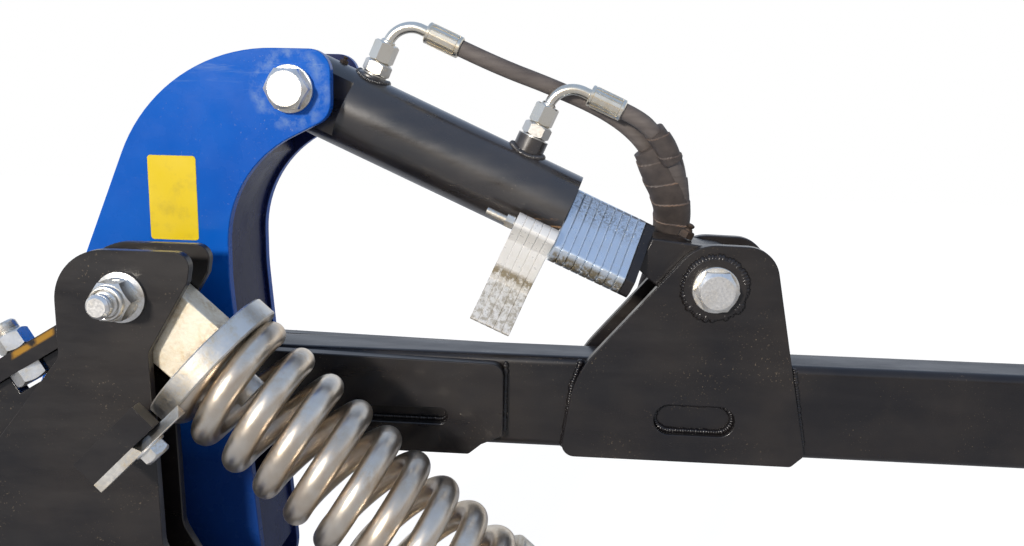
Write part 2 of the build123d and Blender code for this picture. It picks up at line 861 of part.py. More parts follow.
with BuildPart() as lever_nut:
    with BuildSketch(side_plane(holder_far - nut_height)):
        with Locations(lever_pivot):
            RegularPolygon(bolt_head_flats / 2, 6, major_radius=False)
            Circle(lever_pivot_radius + nut_bore_clearance, mode=Mode.SUBTRACT)
    extrude(amount=nut_height)
save(lever_nut.part, "lever_nut")

# Guard strap beside the spring's seat, leaning a little, bolted to a stub on the near holder plate
strap_far = holder_centre + seat_radius + strap_clearance
strap_near = strap_far + strap_width
lean_turn = radians(spring_angle + strap_lean)
strap_along = (cos(lean_turn), -sin(lean_turn))
strap_across = (sin(lean_turn), cos(lean_turn))
strap_origin = (
    hanger_pivot[0] + spring_along[0] * strap_start + spring_across[0] * strap_low / 2,
    hanger_pivot[1] + spring_along[1] * strap_start + spring_across[1] * strap_low / 2,
)


def strap_side(depth):
    # side view of the strap: x through its thickness from its upper face, y up along it
    point = (strap_origin[0], -depth, strap_origin[1])
    return Plane(point, x_dir=(strap_along[0], 0, strap_along[1]), z_dir=(0, -1, 0))


def strap_section(through, height):
    # plane square to the strap's bolt
    point = strap_side((strap_far + strap_near) / 2).from_local_coords((through, height, 0))
    return Plane(point, x_dir=(0, 1, 0), z_dir=(strap_along[0], 0, strap_along[1]))


def strap_band(first, second, low, high):
    # rectangle on the strap's side view, between two places through it and two along it
    with Locations(((first + second) / 2, (low + high - strap_low) / 2)):
        Rectangle(second - first, high - low)


bolt_height = strap_bolt_place - strap_low / 2
with BuildPart() as strap_stub:
    with BuildSketch(strap_side(strap_far)):
        strap_band(-stub_thickness, 0, stub_low, stub_high)
    extrude(amount=strap_width)
    with BuildSketch(strap_side(holder_front)):
        strap_band(-stub_thickness, 0, stub_low, root_high)
    extrude(amount=strap_far - holder_front)
    with BuildSketch(strap_section(0, bolt_height)):
        Circle(strap_bolt_radius)
    extrude(amount=-stub_thickness, mode=Mode.SUBTRACT)
save(strap_stub.part, "strap_stub")

with BuildPart() as guard_strap:
    with BuildSketch(strap_side(strap_far)):
        strap_band(0, strap_thickness, strap_low, strap_high)
    extrude(amount=strap_width)
    # the upper stretch is bevelled from its upper face to its lower edge
    bevel_plane = strap_section(0, bevel_low - strap_low / 2)
    bevel_up = (strap_across[0], 0, strap_across[1])
    with BuildSketch(Plane(bevel_plane.origin, x_dir=(0, 1, 0), z_dir=bevel_up)):
        with BuildLine():
            Polyline(
                (strap_width / 2, 0), (-strap_width / 2, 0), (-strap_width / 2, -strap_thickness), close=True
            )
        make_face()
    extrude(amount=strap_high - bevel_low, mode=Mode.SUBTRACT)
    with BuildSketch(strap_section(0, bolt_height)):
        Circle(strap_bolt_radius)
    extrude(amount=strap_thickness, mode=Mode.SUBTRACT)
save(guard_strap.part, "guard_strap")

with BuildPart() as strap_bolt:
    with BuildSketch(strap_section(-stub_thickness, bolt_height)):
        Circle(strap_bolt_radius)
    extrude(amount=stub_thickness + strap_thickness)
    with BuildSketch(strap_section(strap_thickness, bolt_height)):
        RegularPolygon(strap_bolt_flats / 2, 6, major_radius=False)
    extrude(amount=strap_head_height)
save(strap_bolt.part, "strap_bolt")

# Front stop plate between the holder plates, with its bolt and the web that carries it
stop_plane_x = (cos(radians(stop_slope)), 0, sin(radians(stop_slope)))


def stop_side(depth):
    # side view of the front stop plate: x up its slope, y square to its upper face
    return Plane((stop_corner[0], -depth, stop_corner[1]), x_dir=stop_plane_x, z_dir=(0, -1, 0))


def stop_section(height):
    # plane on the front stop plate's bolt, square to it
    base = stop_side(holder_centre)
    point = base.from_local_coords((stop_bolt_place, height, 0))
    return Plane(point, x_dir=stop_plane_x, z_dir=base.y_dir)


def under_stop(x):
    # height of the front stop plate's lower face at an x
    rise = (x - stop_corner[0]) * tan(radians(stop_slope))
    return stop_corner[1] + rise - stop_thickness / cos(radians(stop_slope))


with BuildPart() as front_stop:
    with BuildSketch(stop_side(holder_centre - holder_gap / 2)):
        with Locations(((stop_low + stop_high) / 2, -stop_thickness / 2)):
            Rectangle(stop_high - stop_low, stop_thickness)
    extrude(amount=holder_gap)
    with BuildSketch(stop_section(0)):
        Circle(hanger_bolt_radius + hanger_bolt_clearance)
    extrude(amount=-stop_thickness, mode=Mode.SUBTRACT)
save(front_stop.part, "front_stop")

with BuildPart() as front_web:
    with BuildSketch(side_plane(holder_centre - front_web_thickness / 2)):
        Polygon(
            (front_web_left, under_stop(front_web_left)),
            (front_web_left, front_web_knee),
            (front_web_foot[0], tube_side / 2),
            (front_web_foot[1], tube_side / 2),
            (front_web_foot[1], under_stop(front_web_foot[1])),
            align=None,
        )
    extrude(amount=front_web_thickness)
    with BuildSketch(stop_section(-stop_thickness)):
        Circle(hanger_head_flats / 2 + stop_bolt_room)
    extrude(amount=-hanger_head_height - stop_bolt_room, mode=Mode.SUBTRACT)
save(front_web.part, "front_web")

with BuildPart() as front_bolt:
    with BuildSketch(stop_section(-stop_thickness)):
        Circle(hanger_bolt_radius)
    extrude(amount=stop_thickness + stop_bolt_reach)
    with BuildSketch(stop_section(-stop_thickness - hanger_head_height)):
        RegularPolygon(hanger_head_flats / 2, 6, major_radius=False)
    extrude(amount=hanger_head_height)
save(front_bolt.part, "front_bolt")

with BuildPart() as front_nut:
    with BuildSketch(stop_section(0)):
        RegularPolygon(stop_nut_flats / 2, 6, major_radius=False)
        Circle(hanger_bolt_radius + nut_bore_clearance, mode=Mode.SUBTRACT)
    extrude(amount=stop_nut_height)
save(front_nut.part, "front_nut")
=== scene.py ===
import json
import math
from collections import namedtuple

import bmesh
import bpy
from mathutils import Matrix, Vector

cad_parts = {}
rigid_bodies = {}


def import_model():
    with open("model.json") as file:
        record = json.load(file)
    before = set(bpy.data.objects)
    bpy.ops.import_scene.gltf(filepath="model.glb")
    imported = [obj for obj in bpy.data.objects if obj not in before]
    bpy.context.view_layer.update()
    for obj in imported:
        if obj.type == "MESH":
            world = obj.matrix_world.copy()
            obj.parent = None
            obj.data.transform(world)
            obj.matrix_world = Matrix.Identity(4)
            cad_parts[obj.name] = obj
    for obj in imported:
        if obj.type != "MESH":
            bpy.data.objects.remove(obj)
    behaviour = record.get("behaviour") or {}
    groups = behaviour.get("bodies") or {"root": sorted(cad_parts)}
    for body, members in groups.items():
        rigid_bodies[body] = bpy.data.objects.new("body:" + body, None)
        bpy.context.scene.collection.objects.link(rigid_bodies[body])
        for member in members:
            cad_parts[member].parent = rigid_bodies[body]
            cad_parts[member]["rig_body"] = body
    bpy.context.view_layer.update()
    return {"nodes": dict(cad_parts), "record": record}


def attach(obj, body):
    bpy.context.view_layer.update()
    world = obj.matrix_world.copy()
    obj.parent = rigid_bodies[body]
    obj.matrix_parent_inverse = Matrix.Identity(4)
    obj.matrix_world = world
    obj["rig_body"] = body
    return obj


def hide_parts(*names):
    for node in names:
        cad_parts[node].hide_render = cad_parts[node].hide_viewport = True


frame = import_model()
scene = bpy.context.scene
scene.view_settings.view_transform = "Standard"


# camera: place in metres and the three directions it looks, measured from the photograph
cameraSetup = {
    "place": (0.47951, -1.15610, 0.59901),
    "right": (0.99700, 0.07398, 0.02261),
    "up": (-0.03630, 0.18930, 0.98125),
    "lens": 31.64,
    "sensor": 36,
}


def newObject(name, data):
    piece = bpy.data.objects.new(name, data)
    scene.collection.objects.link(piece)
    return piece


# an object's mesh with its modifiers or its curve worked out, instead of the object
def workedOut(carrier):
    bpy.context.view_layer.update()
    evaluated = carrier.evaluated_get(bpy.context.evaluated_depsgraph_get())
    mesh = bpy.data.meshes.new_from_object(evaluated)
    bpy.data.objects.remove(carrier)
    return mesh


def makeCamera(setup):
    data = bpy.data.cameras.new("camera")
    data.lens = setup["lens"]
    data.sensor_width = setup["sensor"]
    data.clip_start = 0.01
    camera = newObject("camera", data)
    right = Vector(setup["right"]).normalized()
    back = right.cross(Vector(setup["up"])).normalized()
    up = back.cross(right)
    turn = Matrix((right, up, back)).transposed().to_4x4()
    camera.matrix_world = Matrix.Translation(Vector(setup["place"])) @ turn
    scene.camera = camera


makeCamera(cameraSetup)
print("camera placed")

# pivots and the middle depths of the mast and the tine holder, in metres
armPivot = Vector((0.045, -0.174, 0.268))
topPivot = Vector((0.184, -0.174, 0.6025))
rodPivot = Vector((0.628, -0.174, 0.4065))
hangerPivot = Vector((0.0517, -0.322, 0.4046))
awayFromViewer = Vector((0, 1, 0))
towardViewer = Vector((0, -1, 0))

# the cylinder's own directions: along it from the top pivot, and square above it
cylinderAlong = (rodPivot - topPivot).normalized()
cylinderAcross = cylinderAlong.cross(awayFromViewer)

# the spring's own directions: down along it from the hanger's pivot, and square above it
springAngle = math.radians(41.5)
springAlong = Vector((math.cos(springAngle), 0, -math.sin(springAngle)))
springAcross = springAlong.cross(awayFromViewer)


def onCylinder(along, away, across):
    return topPivot + cylinderAlong * along + awayFromViewer * away + cylinderAcross * across


def onSpring(along, away, across):
    return hangerPivot + springAlong * along + awayFromViewer * away + springAcross * across


def giveMaterial(piece, material):
    piece.data.materials.clear()
    piece.data.materials.append(material)


def smoothByAngle(piece, degrees=35):
    mesh = piece.data
    mesh.shade_smooth()
    mesh.set_sharp_from_angle(angle=math.radians(degrees))


# a finished piece: its material, its body and the CAD nodes it stands for
def finishPiece(piece, material, body, *nodes):
    giveMaterial(piece, material)
    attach(piece, body)
    if nodes:
        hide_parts(*nodes)
    return piece


def meshPiece(name, mesh, material, body, *nodes):
    bmesh.ops.recalc_face_normals(mesh, faces=mesh.faces)
    data = bpy.data.meshes.new(name)
    mesh.to_mesh(data)
    mesh.free()
    piece = newObject(name, data)
    smoothByAngle(piece)
    return finishPiece(piece, material, body, *nodes)


# small helpers for node trees: a value or a link goes into each named input
def connect(tree, socket, value):
    if isinstance(value, bpy.types.NodeSocket):
        tree.links.new(value, socket)
    else:
        socket.default_value = value


def fill(tree, node, *values, **named):
    for socket, value in zip(node.inputs, values):
        connect(tree, socket, value)
    for label, value in named.items():
        connect(tree, node.inputs[label.replace("_", " ")], value)
    return node


def addNode(tree, kind, settings=None, *values, **named):
    node = tree.nodes.new(kind)
    for setting, value in (settings or {}).items():
        setattr(node, setting, value)
    return fill(tree, node, *values, **named)


# a node's first output
def made(tree, kind, settings=None, *values, **named):
    return addNode(tree, kind, settings, *values, **named).outputs[0]


Paint = namedtuple("Paint", "material tree shader place")


def startMaterial(name):
    material = bpy.data.materials.new(name)
    material.use_nodes = True
    tree = material.node_tree
    place = addNode(tree, "ShaderNodeTexCoord").outputs["Object"]
    return Paint(material, tree, tree.nodes["Principled BSDF"], place)


def paint(p, **named):
    fill(p.tree, p.shader, **named)


def noise(p, scale, detail=3.0, rough=0.55):
    return made(p.tree, "ShaderNodeTexNoise", Vector=p.place, Scale=scale, Detail=detail, Roughness=rough)


def stretched(p, turn, scale):
    turn = [math.radians(degrees) for degrees in turn]
    return p._replace(place=made(p.tree, "ShaderNodeMapping", Vector=p.place, Rotation=turn, Scale=scale))


def ramp(p, value, stops):
    node = addNode(p.tree, "ShaderNodeValToRGB", Fac=value)
    band = node.color_ramp
    while len(band.elements) < len(stops):
        band.elements.new(0.5)
    for element, (place, colour) in zip(band.elements, stops):
        element.position = place
        element.color = (*colour, 1)
    return node.outputs["Color"]


def rangeOf(p, value, low, high, fromValue=0.0, toValue=1.0):
    ends = {"From_Min": low, "From_Max": high, "To_Min": fromValue, "To_Max": toValue}
    return made(p.tree, "ShaderNodeMapRange", Value=value, **ends)


# clouds: noise of a scale, detail and roughness, spread between two ends and their amounts
def clouds(p, scale, detail, rough, *ends):
    return rangeOf(p, noise(p, scale, detail, rough), *ends)


def mixColour(p, factor, first, second):
    node = addNode(p.tree, "ShaderNodeMix", {"data_type": "RGBA"})
    sockets = {socket.identifier: socket for socket in node.inputs}
    connect(p.tree, sockets["Factor_Float"], factor)
    for name, colour in (("A_Color", first), ("B_Color", second)):
        connect(p.tree, sockets[name], (*colour, 1) if isinstance(colour, tuple) else colour)
    return next(s for s in node.outputs if s.identifier == "Result_Color")


def times(p, first, second):
    return made(p.tree, "ShaderNodeMath", {"operation": "MULTIPLY", "use_clamp": True}, first, second)


def plus(p, first, second):
    return made(p.tree, "ShaderNodeMath", {"operation": "ADD", "use_clamp": True}, first, second)


def vectorMaths(p, operation, *values):
    return addNode(p.tree, "ShaderNodeVectorMath", {"operation": operation}, *values).outputs


def bump(p, height, strength, distance):
    paint(p, Normal=made(p.tree, "ShaderNodeBump", Strength=strength, Distance=distance, Height=height))


# how far a point lies along a direction from a start, in metres
def placeAlong(p, start, direction):
    shift = vectorMaths(p, "SUBTRACT", p.place, start)["Vector"]
    return vectorMaths(p, "DOT_PRODUCT", shift, direction)["Value"]


# distance from an axis that runs away from the viewer
def roundAxis(p, centre):
    shift = vectorMaths(p, "SUBTRACT", p.place, centre)["Vector"]
    flat = vectorMaths(p, "MULTIPLY", shift, (1, 0, 1))["Vector"]
    return vectorMaths(p, "LENGTH", flat)["Value"]


# a band of ones between two values, with soft ends
def bandOf(p, value, low, high, soft):
    rise = rangeOf(p, value, low - soft, low + soft)
    return times(p, rise, rangeOf(p, value, high - soft, high + soft, 1, 0))


# specks of dust, gathered in patches
def dustSpecks(p, speckScale, patchScale, least, amount):
    speck = clouds(p, speckScale, 2, 0.55, least, least + 0.05)
    return times(p, speck, clouds(p, patchScale, 4, 0.55, 0.48, 0.7, 0, amount))


# looks: clouds are given as scale, detail, roughness, low and high end, and the amounts at the ends
bluePaintLook = {
    "colour": (0.004, 0.145, 0.66),
    "deepColour": (0.003, 0.105, 0.54),
    "tone": (7, 3, 0.55, 0.3, 0.7),
    "worn": (0.22, 0.36, 0.62),
    "ring": (0.0285, 0.041, 0.0035),
    "ringClouds": (55, 5, 0.65, 0.44, 0.62),
    "ringWear": 0.5,
    "streakGrain": ((0, -12, 0), (14, 60, 150)),
    "streaks": (1, 4, 0.7, 0.56, 0.72, 0, 0.35),
    "streaksAbove": (0.585, 0.045),
    "dust": (0.55, 0.55, 0.52),
    "specks": (430, 12, 0.68, 0.35),
    # painted shade: the dark navy colours and their tone that stand in for shade inside the mast, and
    # where the darkening spreads on the mast's foot
    "paintedShade": (0.012, 0.022, 0.105),
    "paintedShadeDeep": (0.009, 0.015, 0.072),
    "paintedShadeTone": (16, 4, 0.55, 0.35, 0.65),
    "paintedShadeBelow": 0.225,
    "paintedShadeSpread": (-0.03, 0.03, 0, 0.72),
    "roughClouds": (26, 4, 0.55, 0.3, 0.7, 0.19, 0.34),
    "wornRoughness": 0.3,
    "dents": (22, 4, 0.6),
}


def makeBluePaint(look, name, paintedShadeFrom=None):
    p = startMaterial(name)
    colour = mixColour(p, clouds(p, *look["tone"]), look["deepColour"], look["colour"])
    # the washer's worn ring and the streaks beside it near the top bolt
    ring = bandOf(p, roundAxis(p, topPivot), *look["ring"])
    ring = times(p, ring, clouds(p, *look["ringClouds"]))
    streak = clouds(stretched(p, *look["streakGrain"]), *look["streaks"])
    above, soft = look["streaksAbove"]
    high = rangeOf(p, placeAlong(p, (0, 0, above), (0, 0, 1)), 0, soft)
    worn = plus(p, times(p, ring, look["ringWear"]), times(p, streak, high))
    colour = mixColour(p, worn, colour, look["worn"])
    colour = mixColour(p, dustSpecks(p, *look["specks"]), colour, look["dust"])
    # painted shade: the foot of the mast is darkened towards the bottom, standing in for the shade of the
    # holder plates and the spring
    below = placeAlong(p, (0, 0, look["paintedShadeBelow"]), (0, 0, -1))
    colour = mixColour(p, rangeOf(p, below, *look["paintedShadeSpread"]), colour, look["paintedShade"])
    # painted shade: faces nearer the viewer than the given depth (the far mast plate's inner face, and the
    # whole webs) get a dark navy colour that stands in for the shade between the mast plates
    if paintedShadeFrom is not None:
        inside = rangeOf(p, placeAlong(p, (0, -paintedShadeFrom, 0), (0, -1, 0)), -0.0002, 0.0002)
        paintedShade = mixColour(p, clouds(p, *look["paintedShadeTone"]), look["paintedShade"], look["paintedShadeDeep"])
        colour = mixColour(p, inside, colour, paintedShade)
    rough = clouds(p, *look["roughClouds"])
    rough = plus(p, rough, times(p, worn, look["wornRoughness"]))
    paint(p, Base_Color=colour, Roughness=rough, IOR=1.3)
    bump(p, noise(p, *look["dents"]), 0.16, 0.002)
    return p.material


blackPaintLook = {
    "colour": (0.0065, 0.0055, 0.0070),
    "brown": (0.022, 0.0175, 0.0150),
    "tone": (9, 5, 0.55, 0.38, 0.68),
    "dust": (0.30, 0.235, 0.155),
    "specks": (480, 14, 0.665, 0.6),
    "smearGrain": ((0, 8, 0), (9, 30, 42)),
    "smears": (1, 4, 0.6, 0.3, 0.7, 0.24, 0.48),
    "gloss": 0.45,
    "coat": 0.22,
    "dents": (34, 5, 0.6),
}
cylinderPaintLook = {
    **blackPaintLook,
    "colour": (0.012, 0.011, 0.012),
    "brown": (0.034, 0.027, 0.023),
    "dust": (0.26, 0.22, 0.17),
    "specks": (480, 14, 0.665, 0.35),
    "smears": (1, 4, 0.6, 0.3, 0.7, 0.20, 0.44),
    "rust": (0.42, 0.24, 0.11),
    "rustEnd": (0.272, 0.304),
    "rustBelow": (-0.004, -0.016),
    "rustGrain": ((0, 66.2, 0), (70, 160, 330)),
    "rustClouds": (1, 4, 0.7, 0.53, 0.62),
    "coat": 0.6,
    "gloss": 0.9,
}
yellowPatchLook = {
    "colour": (0.42, 0.21, 0.012),
    "slope": 31.2,
    "corner": (-0.0943, 0, 0.3274),
    "width": (-0.068, -0.024, 0.002),
    "depth": (0.0012, 0.007, 0.001),
    "broken": (60, 4, 0.55, 0.3, 0.45),
}


def makeBlackPaint(look, name, extra=None):
    p = startMaterial(name)
    colour = mixColour(p, clouds(p, *look["tone"]), look["colour"], look["brown"])
    colour = mixColour(p, dustSpecks(p, *look["specks"]), colour, look["dust"])
    if extra:
        colour = extra(p, colour, look)
    rough = clouds(stretched(p, *look["smearGrain"]), *look["smears"])
    paint(p, Base_Color=colour, Roughness=rough, Specular_IOR_Level=look["gloss"])
    paint(p, Coat_Weight=look["coat"], Coat_Roughness=0.14)
    bump(p, noise(p, *look["dents"]), 0.16, 0.0014)
    return p.material


def rustyEnd(p, colour, look):
    near = rangeOf(p, placeAlong(p, topPivot, cylinderAlong), *look["rustEnd"])
    low = rangeOf(p, placeAlong(p, topPivot, cylinderAcross), *look["rustBelow"])
    streak = clouds(stretched(p, *look["rustGrain"]), *look["rustClouds"])
    return mixColour(p, times(p, near, times(p, streak, low)), colour, look["rust"])


# a part of the front stop plate was sprayed over in yellow
def yellowPatch(p, colour, paintLook):
    look = yellowPatchLook
    slope = math.radians(look["slope"])
    width = placeAlong(p, (0, 0, 0), (1, 0, 0))
    depth = placeAlong(p, look["corner"], (math.sin(slope), 0, -math.cos(slope)))
    patch = times(p, bandOf(p, width, *look["width"]), bandOf(p, depth, *look["depth"]))
    patch = times(p, patch, clouds(p, *look["broken"]))
    return mixColour(p, patch, colour, look["colour"])


metalLooks = {
    # colour, warm colour, roughness and its spread, metal, scale of the grain, height of the grain
    "zinc plate": ((0.80, 0.78, 0.73), (0.60, 0.50, 0.34), 0.42, 0.1, 1.0, 1.0, 0.25),
    "bolt zinc": ((0.88, 0.87, 0.84), (0.62, 0.55, 0.42), 0.36, 0.1, 1.0, 1.3, 0.14),
    "lug zinc": ((0.90, 0.84, 0.70), (0.68, 0.55, 0.35), 0.55, 0.1, 0.8, 0.9, 0.6),
    "ferrule zinc": ((0.90, 0.85, 0.74), (0.72, 0.58, 0.36), 0.26, 0.02, 1.0, 0.5, 0.02),
    "spring steel": ((0.82, 0.76, 0.67), (0.66, 0.54, 0.40), 0.34, 0.05, 1.0, 0.6, 0.012),
    "hard chrome": ((0.88, 0.88, 0.90), (0.70, 0.66, 0.60), 0.10, 0.1, 1.0, 0.5, 0.25),
    # painted reflection: the clips' aluminium colour is tinted sky blue, standing in for the sky they
    # reflect
    "clip aluminium": ((0.77, 0.86, 0.96), (0.70, 0.76, 0.82), 0.34, 0.1, 0.92, 0.7, 0.08),
    "hanging clip aluminium": ((0.97, 0.96, 0.93), (0.90, 0.88, 0.82), 0.34, 0.1, 0.3, 0.7, 0.08),
    "dirty steel": ((0.045, 0.034, 0.028), (0.13, 0.085, 0.06), 0.62, 0.1, 0.5, 2.0, 0.25),
}
lugLook = {
    "rust": (0.26, 0.13, 0.06),
    "rustEnd": (0.078, 0.092),
    "rustClouds": (90, 4, 0.7, 0.42, 0.58),
}
springLook = {"tint": (0.58, 0.44, 0.30), "tintClouds": (20, 3, 0.55, 0.42, 0.62, 0, 0.45)}
clipLook = {
    "stain": (0.20, 0.20, 0.20),
    "grit": (420, 5, 0.8, 0.46, 0.60),
    "patches": (30, 3, 0.55, 0.34, 0.52, 0, 0.8),
    "stainBand": (0.006, 0.026, 0.006),
    "golden": (0.30, 0.245, 0.15),
    "speckle": (170, 4, 0.7),
    "speckleEnds": (0.38, 0.54, 0.15, 0.95),
    "facetBand": (-0.062, -0.0335, 0.002),
    "facetFrom": (0.314, 0.316),
    "kinkBand": (-0.0910, -0.0785, 0.003),
    "looseBelow": (-0.0915, -0.0955),
    "looseEnds": (0.44, 0.60, 0.14, 0.7),
}


def makeMetal(name, extra=None, look=None):
    colour, warm, roughness, spread, metal, scale, grainHeight = metalLooks[name]
    p = startMaterial(name)
    grain = noise(p, 300 * scale, 4, 0.65)
    cloud = clouds(p, 36 * scale, 4, 0.55, 0.42, 0.7)
    mottled = times(p, cloud, rangeOf(p, grain, 0.36, 0.62, 0.15, 1))
    colour = mixColour(p, mottled, colour, warm)
    if extra:
        colour = extra(p, colour, look)
    rough = rangeOf(p, grain, 0.3, 0.7, roughness - spread, roughness + spread)
    paint(p, Base_Color=colour, Metallic=metal, Roughness=rough)
    bump(p, grain, grainHeight, 0.0005)
    return p.material


# a granular grey stain under the clips' upper edge, and golden speckle on the closed clips'
# lower facet, at the hanging clips' kink and below it
def clipStains(p, colour, look):
    across = placeAlong(p, topPivot, cylinderAcross)
    along = placeAlong(p, topPivot, cylinderAlong)
    stain = times(p, clouds(p, *look["grit"]), clouds(p, *look["patches"]))
    stain = times(p, stain, bandOf(p, across, *look["stainBand"]))
    colour = mixColour(p, stain, colour, look["stain"])
    facet = times(p, bandOf(p, across, *look["facetBand"]), rangeOf(p, along, *look["facetFrom"]))
    kink = bandOf(p, across, *look["kinkBand"])
    fine = noise(p, *look["speckle"])
    dark = times(p, plus(p, facet, kink), rangeOf(p, fine, *look["speckleEnds"]))
    loose = rangeOf(p, across, *look["looseBelow"])
    loose = times(p, loose, rangeOf(p, fine, *look["looseEnds"]))
    return mixColour(p, plus(p, dark, loose), colour, look["golden"])


# brownish patches on the spring
def springTint(p, colour, look):
    return mixColour(p, clouds(p, *look["tintClouds"]), colour, look["tint"])


# scale and rust where the lug is welded to the spring's seat
def lugRust(p, colour, look):
    near = rangeOf(p, placeAlong(p, hangerPivot, springAlong), *look["rustEnd"])
    return mixColour(p, times(p, near, clouds(p, *look["rustClouds"])), colour, look["rust"])


bluePaint = makeBluePaint(bluePaintLook, "blue paint")
# the far mast plate's inner face and the webs carry painted shade
blueWithPaintedShade = makeBluePaint(bluePaintLook, "blue paint with painted shade inside", 0.1215)
webBlueInPaintedShade = makeBluePaint(bluePaintLook, "blue paint of the webs in painted shade", 0.0)
blackPaint = makeBlackPaint(blackPaintLook, "black paint")
cylinderPaint = makeBlackPaint(cylinderPaintLook, "cylinder paint", rustyEnd)
stopPaint = makeBlackPaint(blackPaintLook, "stop plate paint", yellowPatch)
zincPlate = makeMetal("zinc plate")
boltZinc = makeMetal("bolt zinc")
lugZinc = makeMetal("lug zinc", extra=lugRust, look=lugLook)
ferruleZinc = makeMetal("ferrule zinc")
dirtySteel = makeMetal("dirty steel")
springSteel = makeMetal("spring steel", springTint, springLook)
hardChrome = makeMetal("hard chrome")
# the clips' aluminium, tinted sky blue as a painted reflection
clipAluminiumSkyTinted = makeMetal("clip aluminium", clipStains, clipLook)
spareAluminium = makeMetal("hanging clip aluminium", clipStains, clipLook)
finishes = {
    "blue_paint": bluePaint,
    "black_paint": blackPaint,
    "zinc_plate": zincPlate,
    "bright_steel": springSteel,
    "hard_chrome": hardChrome,
    "clip_aluminium": clipAluminiumSkyTinted,
}
ownFinishes = {
    "mast_plate_far": blueWithPaintedShade,
    "mast_web_throat": webBlueInPaintedShade,
    "mast_web_foot": webBlueInPaintedShade,
    "cylinder_base": cylinderPaint,
    "cylinder_barrel": cylinderPaint,
    "cylinder_gland": cylinderPaint,
    "front_stop": stopPaint,
    "spring_hanger": lugZinc,
    "spare_clips": spareAluminium,
}
nodeFinish = {}
for entry in frame["record"]["subparts"]:
    name, slotName = entry["node"], entry["material_slot"]
    nodeFinish[name] = ownFinishes.get(name) or finishes.get(slotName)
    if nodeFinish[name]:
        giveMaterial(frame["nodes"][name], nodeFinish[name])
print("materials given")

# plates and other cut pieces: the CAD shape with its sharp edges rounded, radius in metres
edgeSetup = {
    "mast_plate_far": 0.0010,
    "mast_plate_near": 0.0010,
    "arm_fishplate_far": 0.0012,
    "arm_fishplate_near": 0.0012,
    "arm_bracket_far": 0.0013,
    "arm_bracket_near": 0.0013,
    "bracket_collars": 0.0012,
    "arm_end_flange": 0.0012,
    "holder_plate_far": 0.0013,
    "holder_plate_near": 0.0013,
    "spring_hanger": 0.0016,
    "strap_stub": 0.0010,
    "front_stop": 0.0010,
    "front_web": 0.0010,
    "tine_lever": 0.0020,
    "stop_clips": 0.0012,
    "spare_clips": 0.0007,
    "stop_plate": 0.0010,
    "rod_eye": 0.0016,
}


def roundEdges(node, radius):
    piece = newObject(node + "_edged", frame["nodes"][node].data.copy())
    mesh = bmesh.new()
    mesh.from_mesh(piece.data)
    bmesh.ops.remove_doubles(mesh, verts=mesh.verts, dist=1e-6)
    bmesh.ops.dissolve_limit(mesh, angle_limit=math.radians(0.6), verts=mesh.verts, edges=mesh.edges)
    mesh.to_mesh(piece.data)
    mesh.free()
    smoothByAngle(piece)
    edge = piece.modifiers.new("rounded edges", "BEVEL")
    edge.width = radius
    edge.segments = 2
    edge.limit_method = "ANGLE"
    edge.angle_limit = math.radians(35)
    edge.use_clamp_overlap = "clips" not in node
    evened = piece.modifiers.new("even shading", "WEIGHTED_NORMAL")
    evened.keep_sharp = True
    return finishPiece(piece, nodeFinish[node], frame["nodes"][node]["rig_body"], node)


for node, radius in edgeSetup.items():
    roundEdges(node, radius)
print("plate edges rounded")


# a frame to build on: its own z runs along the axis, its own x toward a start direction
def axisFrame(origin, axis, start):
    along = axis.normalized()
    first = (start - along * start.dot(along)).normalized()
    second = along.cross(first)
    turn = Matrix((first, second, along)).transposed().to_4x4()
    return Matrix.Translation(origin) @ turn


# rings of points joined into a closed skin
def joinRings(mesh, rows):
    count = len(rows[0])
    for lower, upper in zip(rows, rows[1:]):
        for this in range(count):
            after = (this + 1) % count
            mesh.faces.new((lower[this], lower[after], upper[after], upper[this]))
    mesh.faces.new(tuple(reversed(rows[0])))
    mesh.faces.new(tuple(rows[-1]))


def skin(mesh, rings):
    joinRings(mesh, [[mesh.verts.new(point) for point in ring] for ring in rings])


def roundAngles(count):
    return [2 * math.pi * step / count for step in range(count)]


# a turned solid: rows of height along the axis and radius
def turned(mesh, place, rows, sides=48):
    turns = [(math.cos(angle), math.sin(angle)) for angle in roundAngles(sides)]
    skin(mesh, [[place @ Vector((r * c, r * s, h)) for c, s in turns] for h, r in rows])


hexChamfer = math.tan(math.radians(38))


# a hexagon bar with its corners turned off at one end or both, corners on its own x
def hexagon(mesh, place, flats, low, high, chamferLow=False, chamferHigh=True, roundFace=0.475, steps=12):
    faceRadius = roundFace * flats
    angles = roundAngles(6 * steps)
    corner = math.pi / 3
    radii = [flats / 2 / math.cos(a % corner - corner / 2) for a in angles]
    drops = [(radius - faceRadius) * hexChamfer for radius in radii]
    count = len(angles)
    lower = [low + drop * chamferLow for drop in drops]
    upper = [high - drop * chamferHigh for drop in drops]
    rows = [(radii, lower), (radii, upper)]
    if chamferLow:
        rows.insert(0, ([faceRadius] * count, [low] * count))
    if chamferHigh:
        rows.append(([faceRadius] * count, [high] * count))
    turns = [(math.cos(angle), math.sin(angle)) for angle in angles]
    skin(mesh, [[place @ Vector((r * c, r * s, h)) for (c, s), r, h in zip(turns, *row)] for row in rows])


# geometry trees: a start with named inputs and an end that gives real faces and their material
def startTree(name, inputs):
    tree = bpy.data.node_groups.new(name, "GeometryNodeTree")
    tree.interface.new_socket("Geometry", in_out="INPUT", socket_type="NodeSocketGeometry")
    for label, value in inputs.items():
        kind = "NodeSocketInt" if isinstance(value, int) else "NodeSocketFloat"
        tree.interface.new_socket(label, in_out="INPUT", socket_type=kind).default_value = value
    tree.interface.new_socket("Material", in_out="INPUT", socket_type="NodeSocketMaterial")
    tree.interface.new_socket("Geometry", in_out="OUTPUT", socket_type="NodeSocketGeometry")
    return tree, tree.nodes.new("NodeGroupInput").outputs


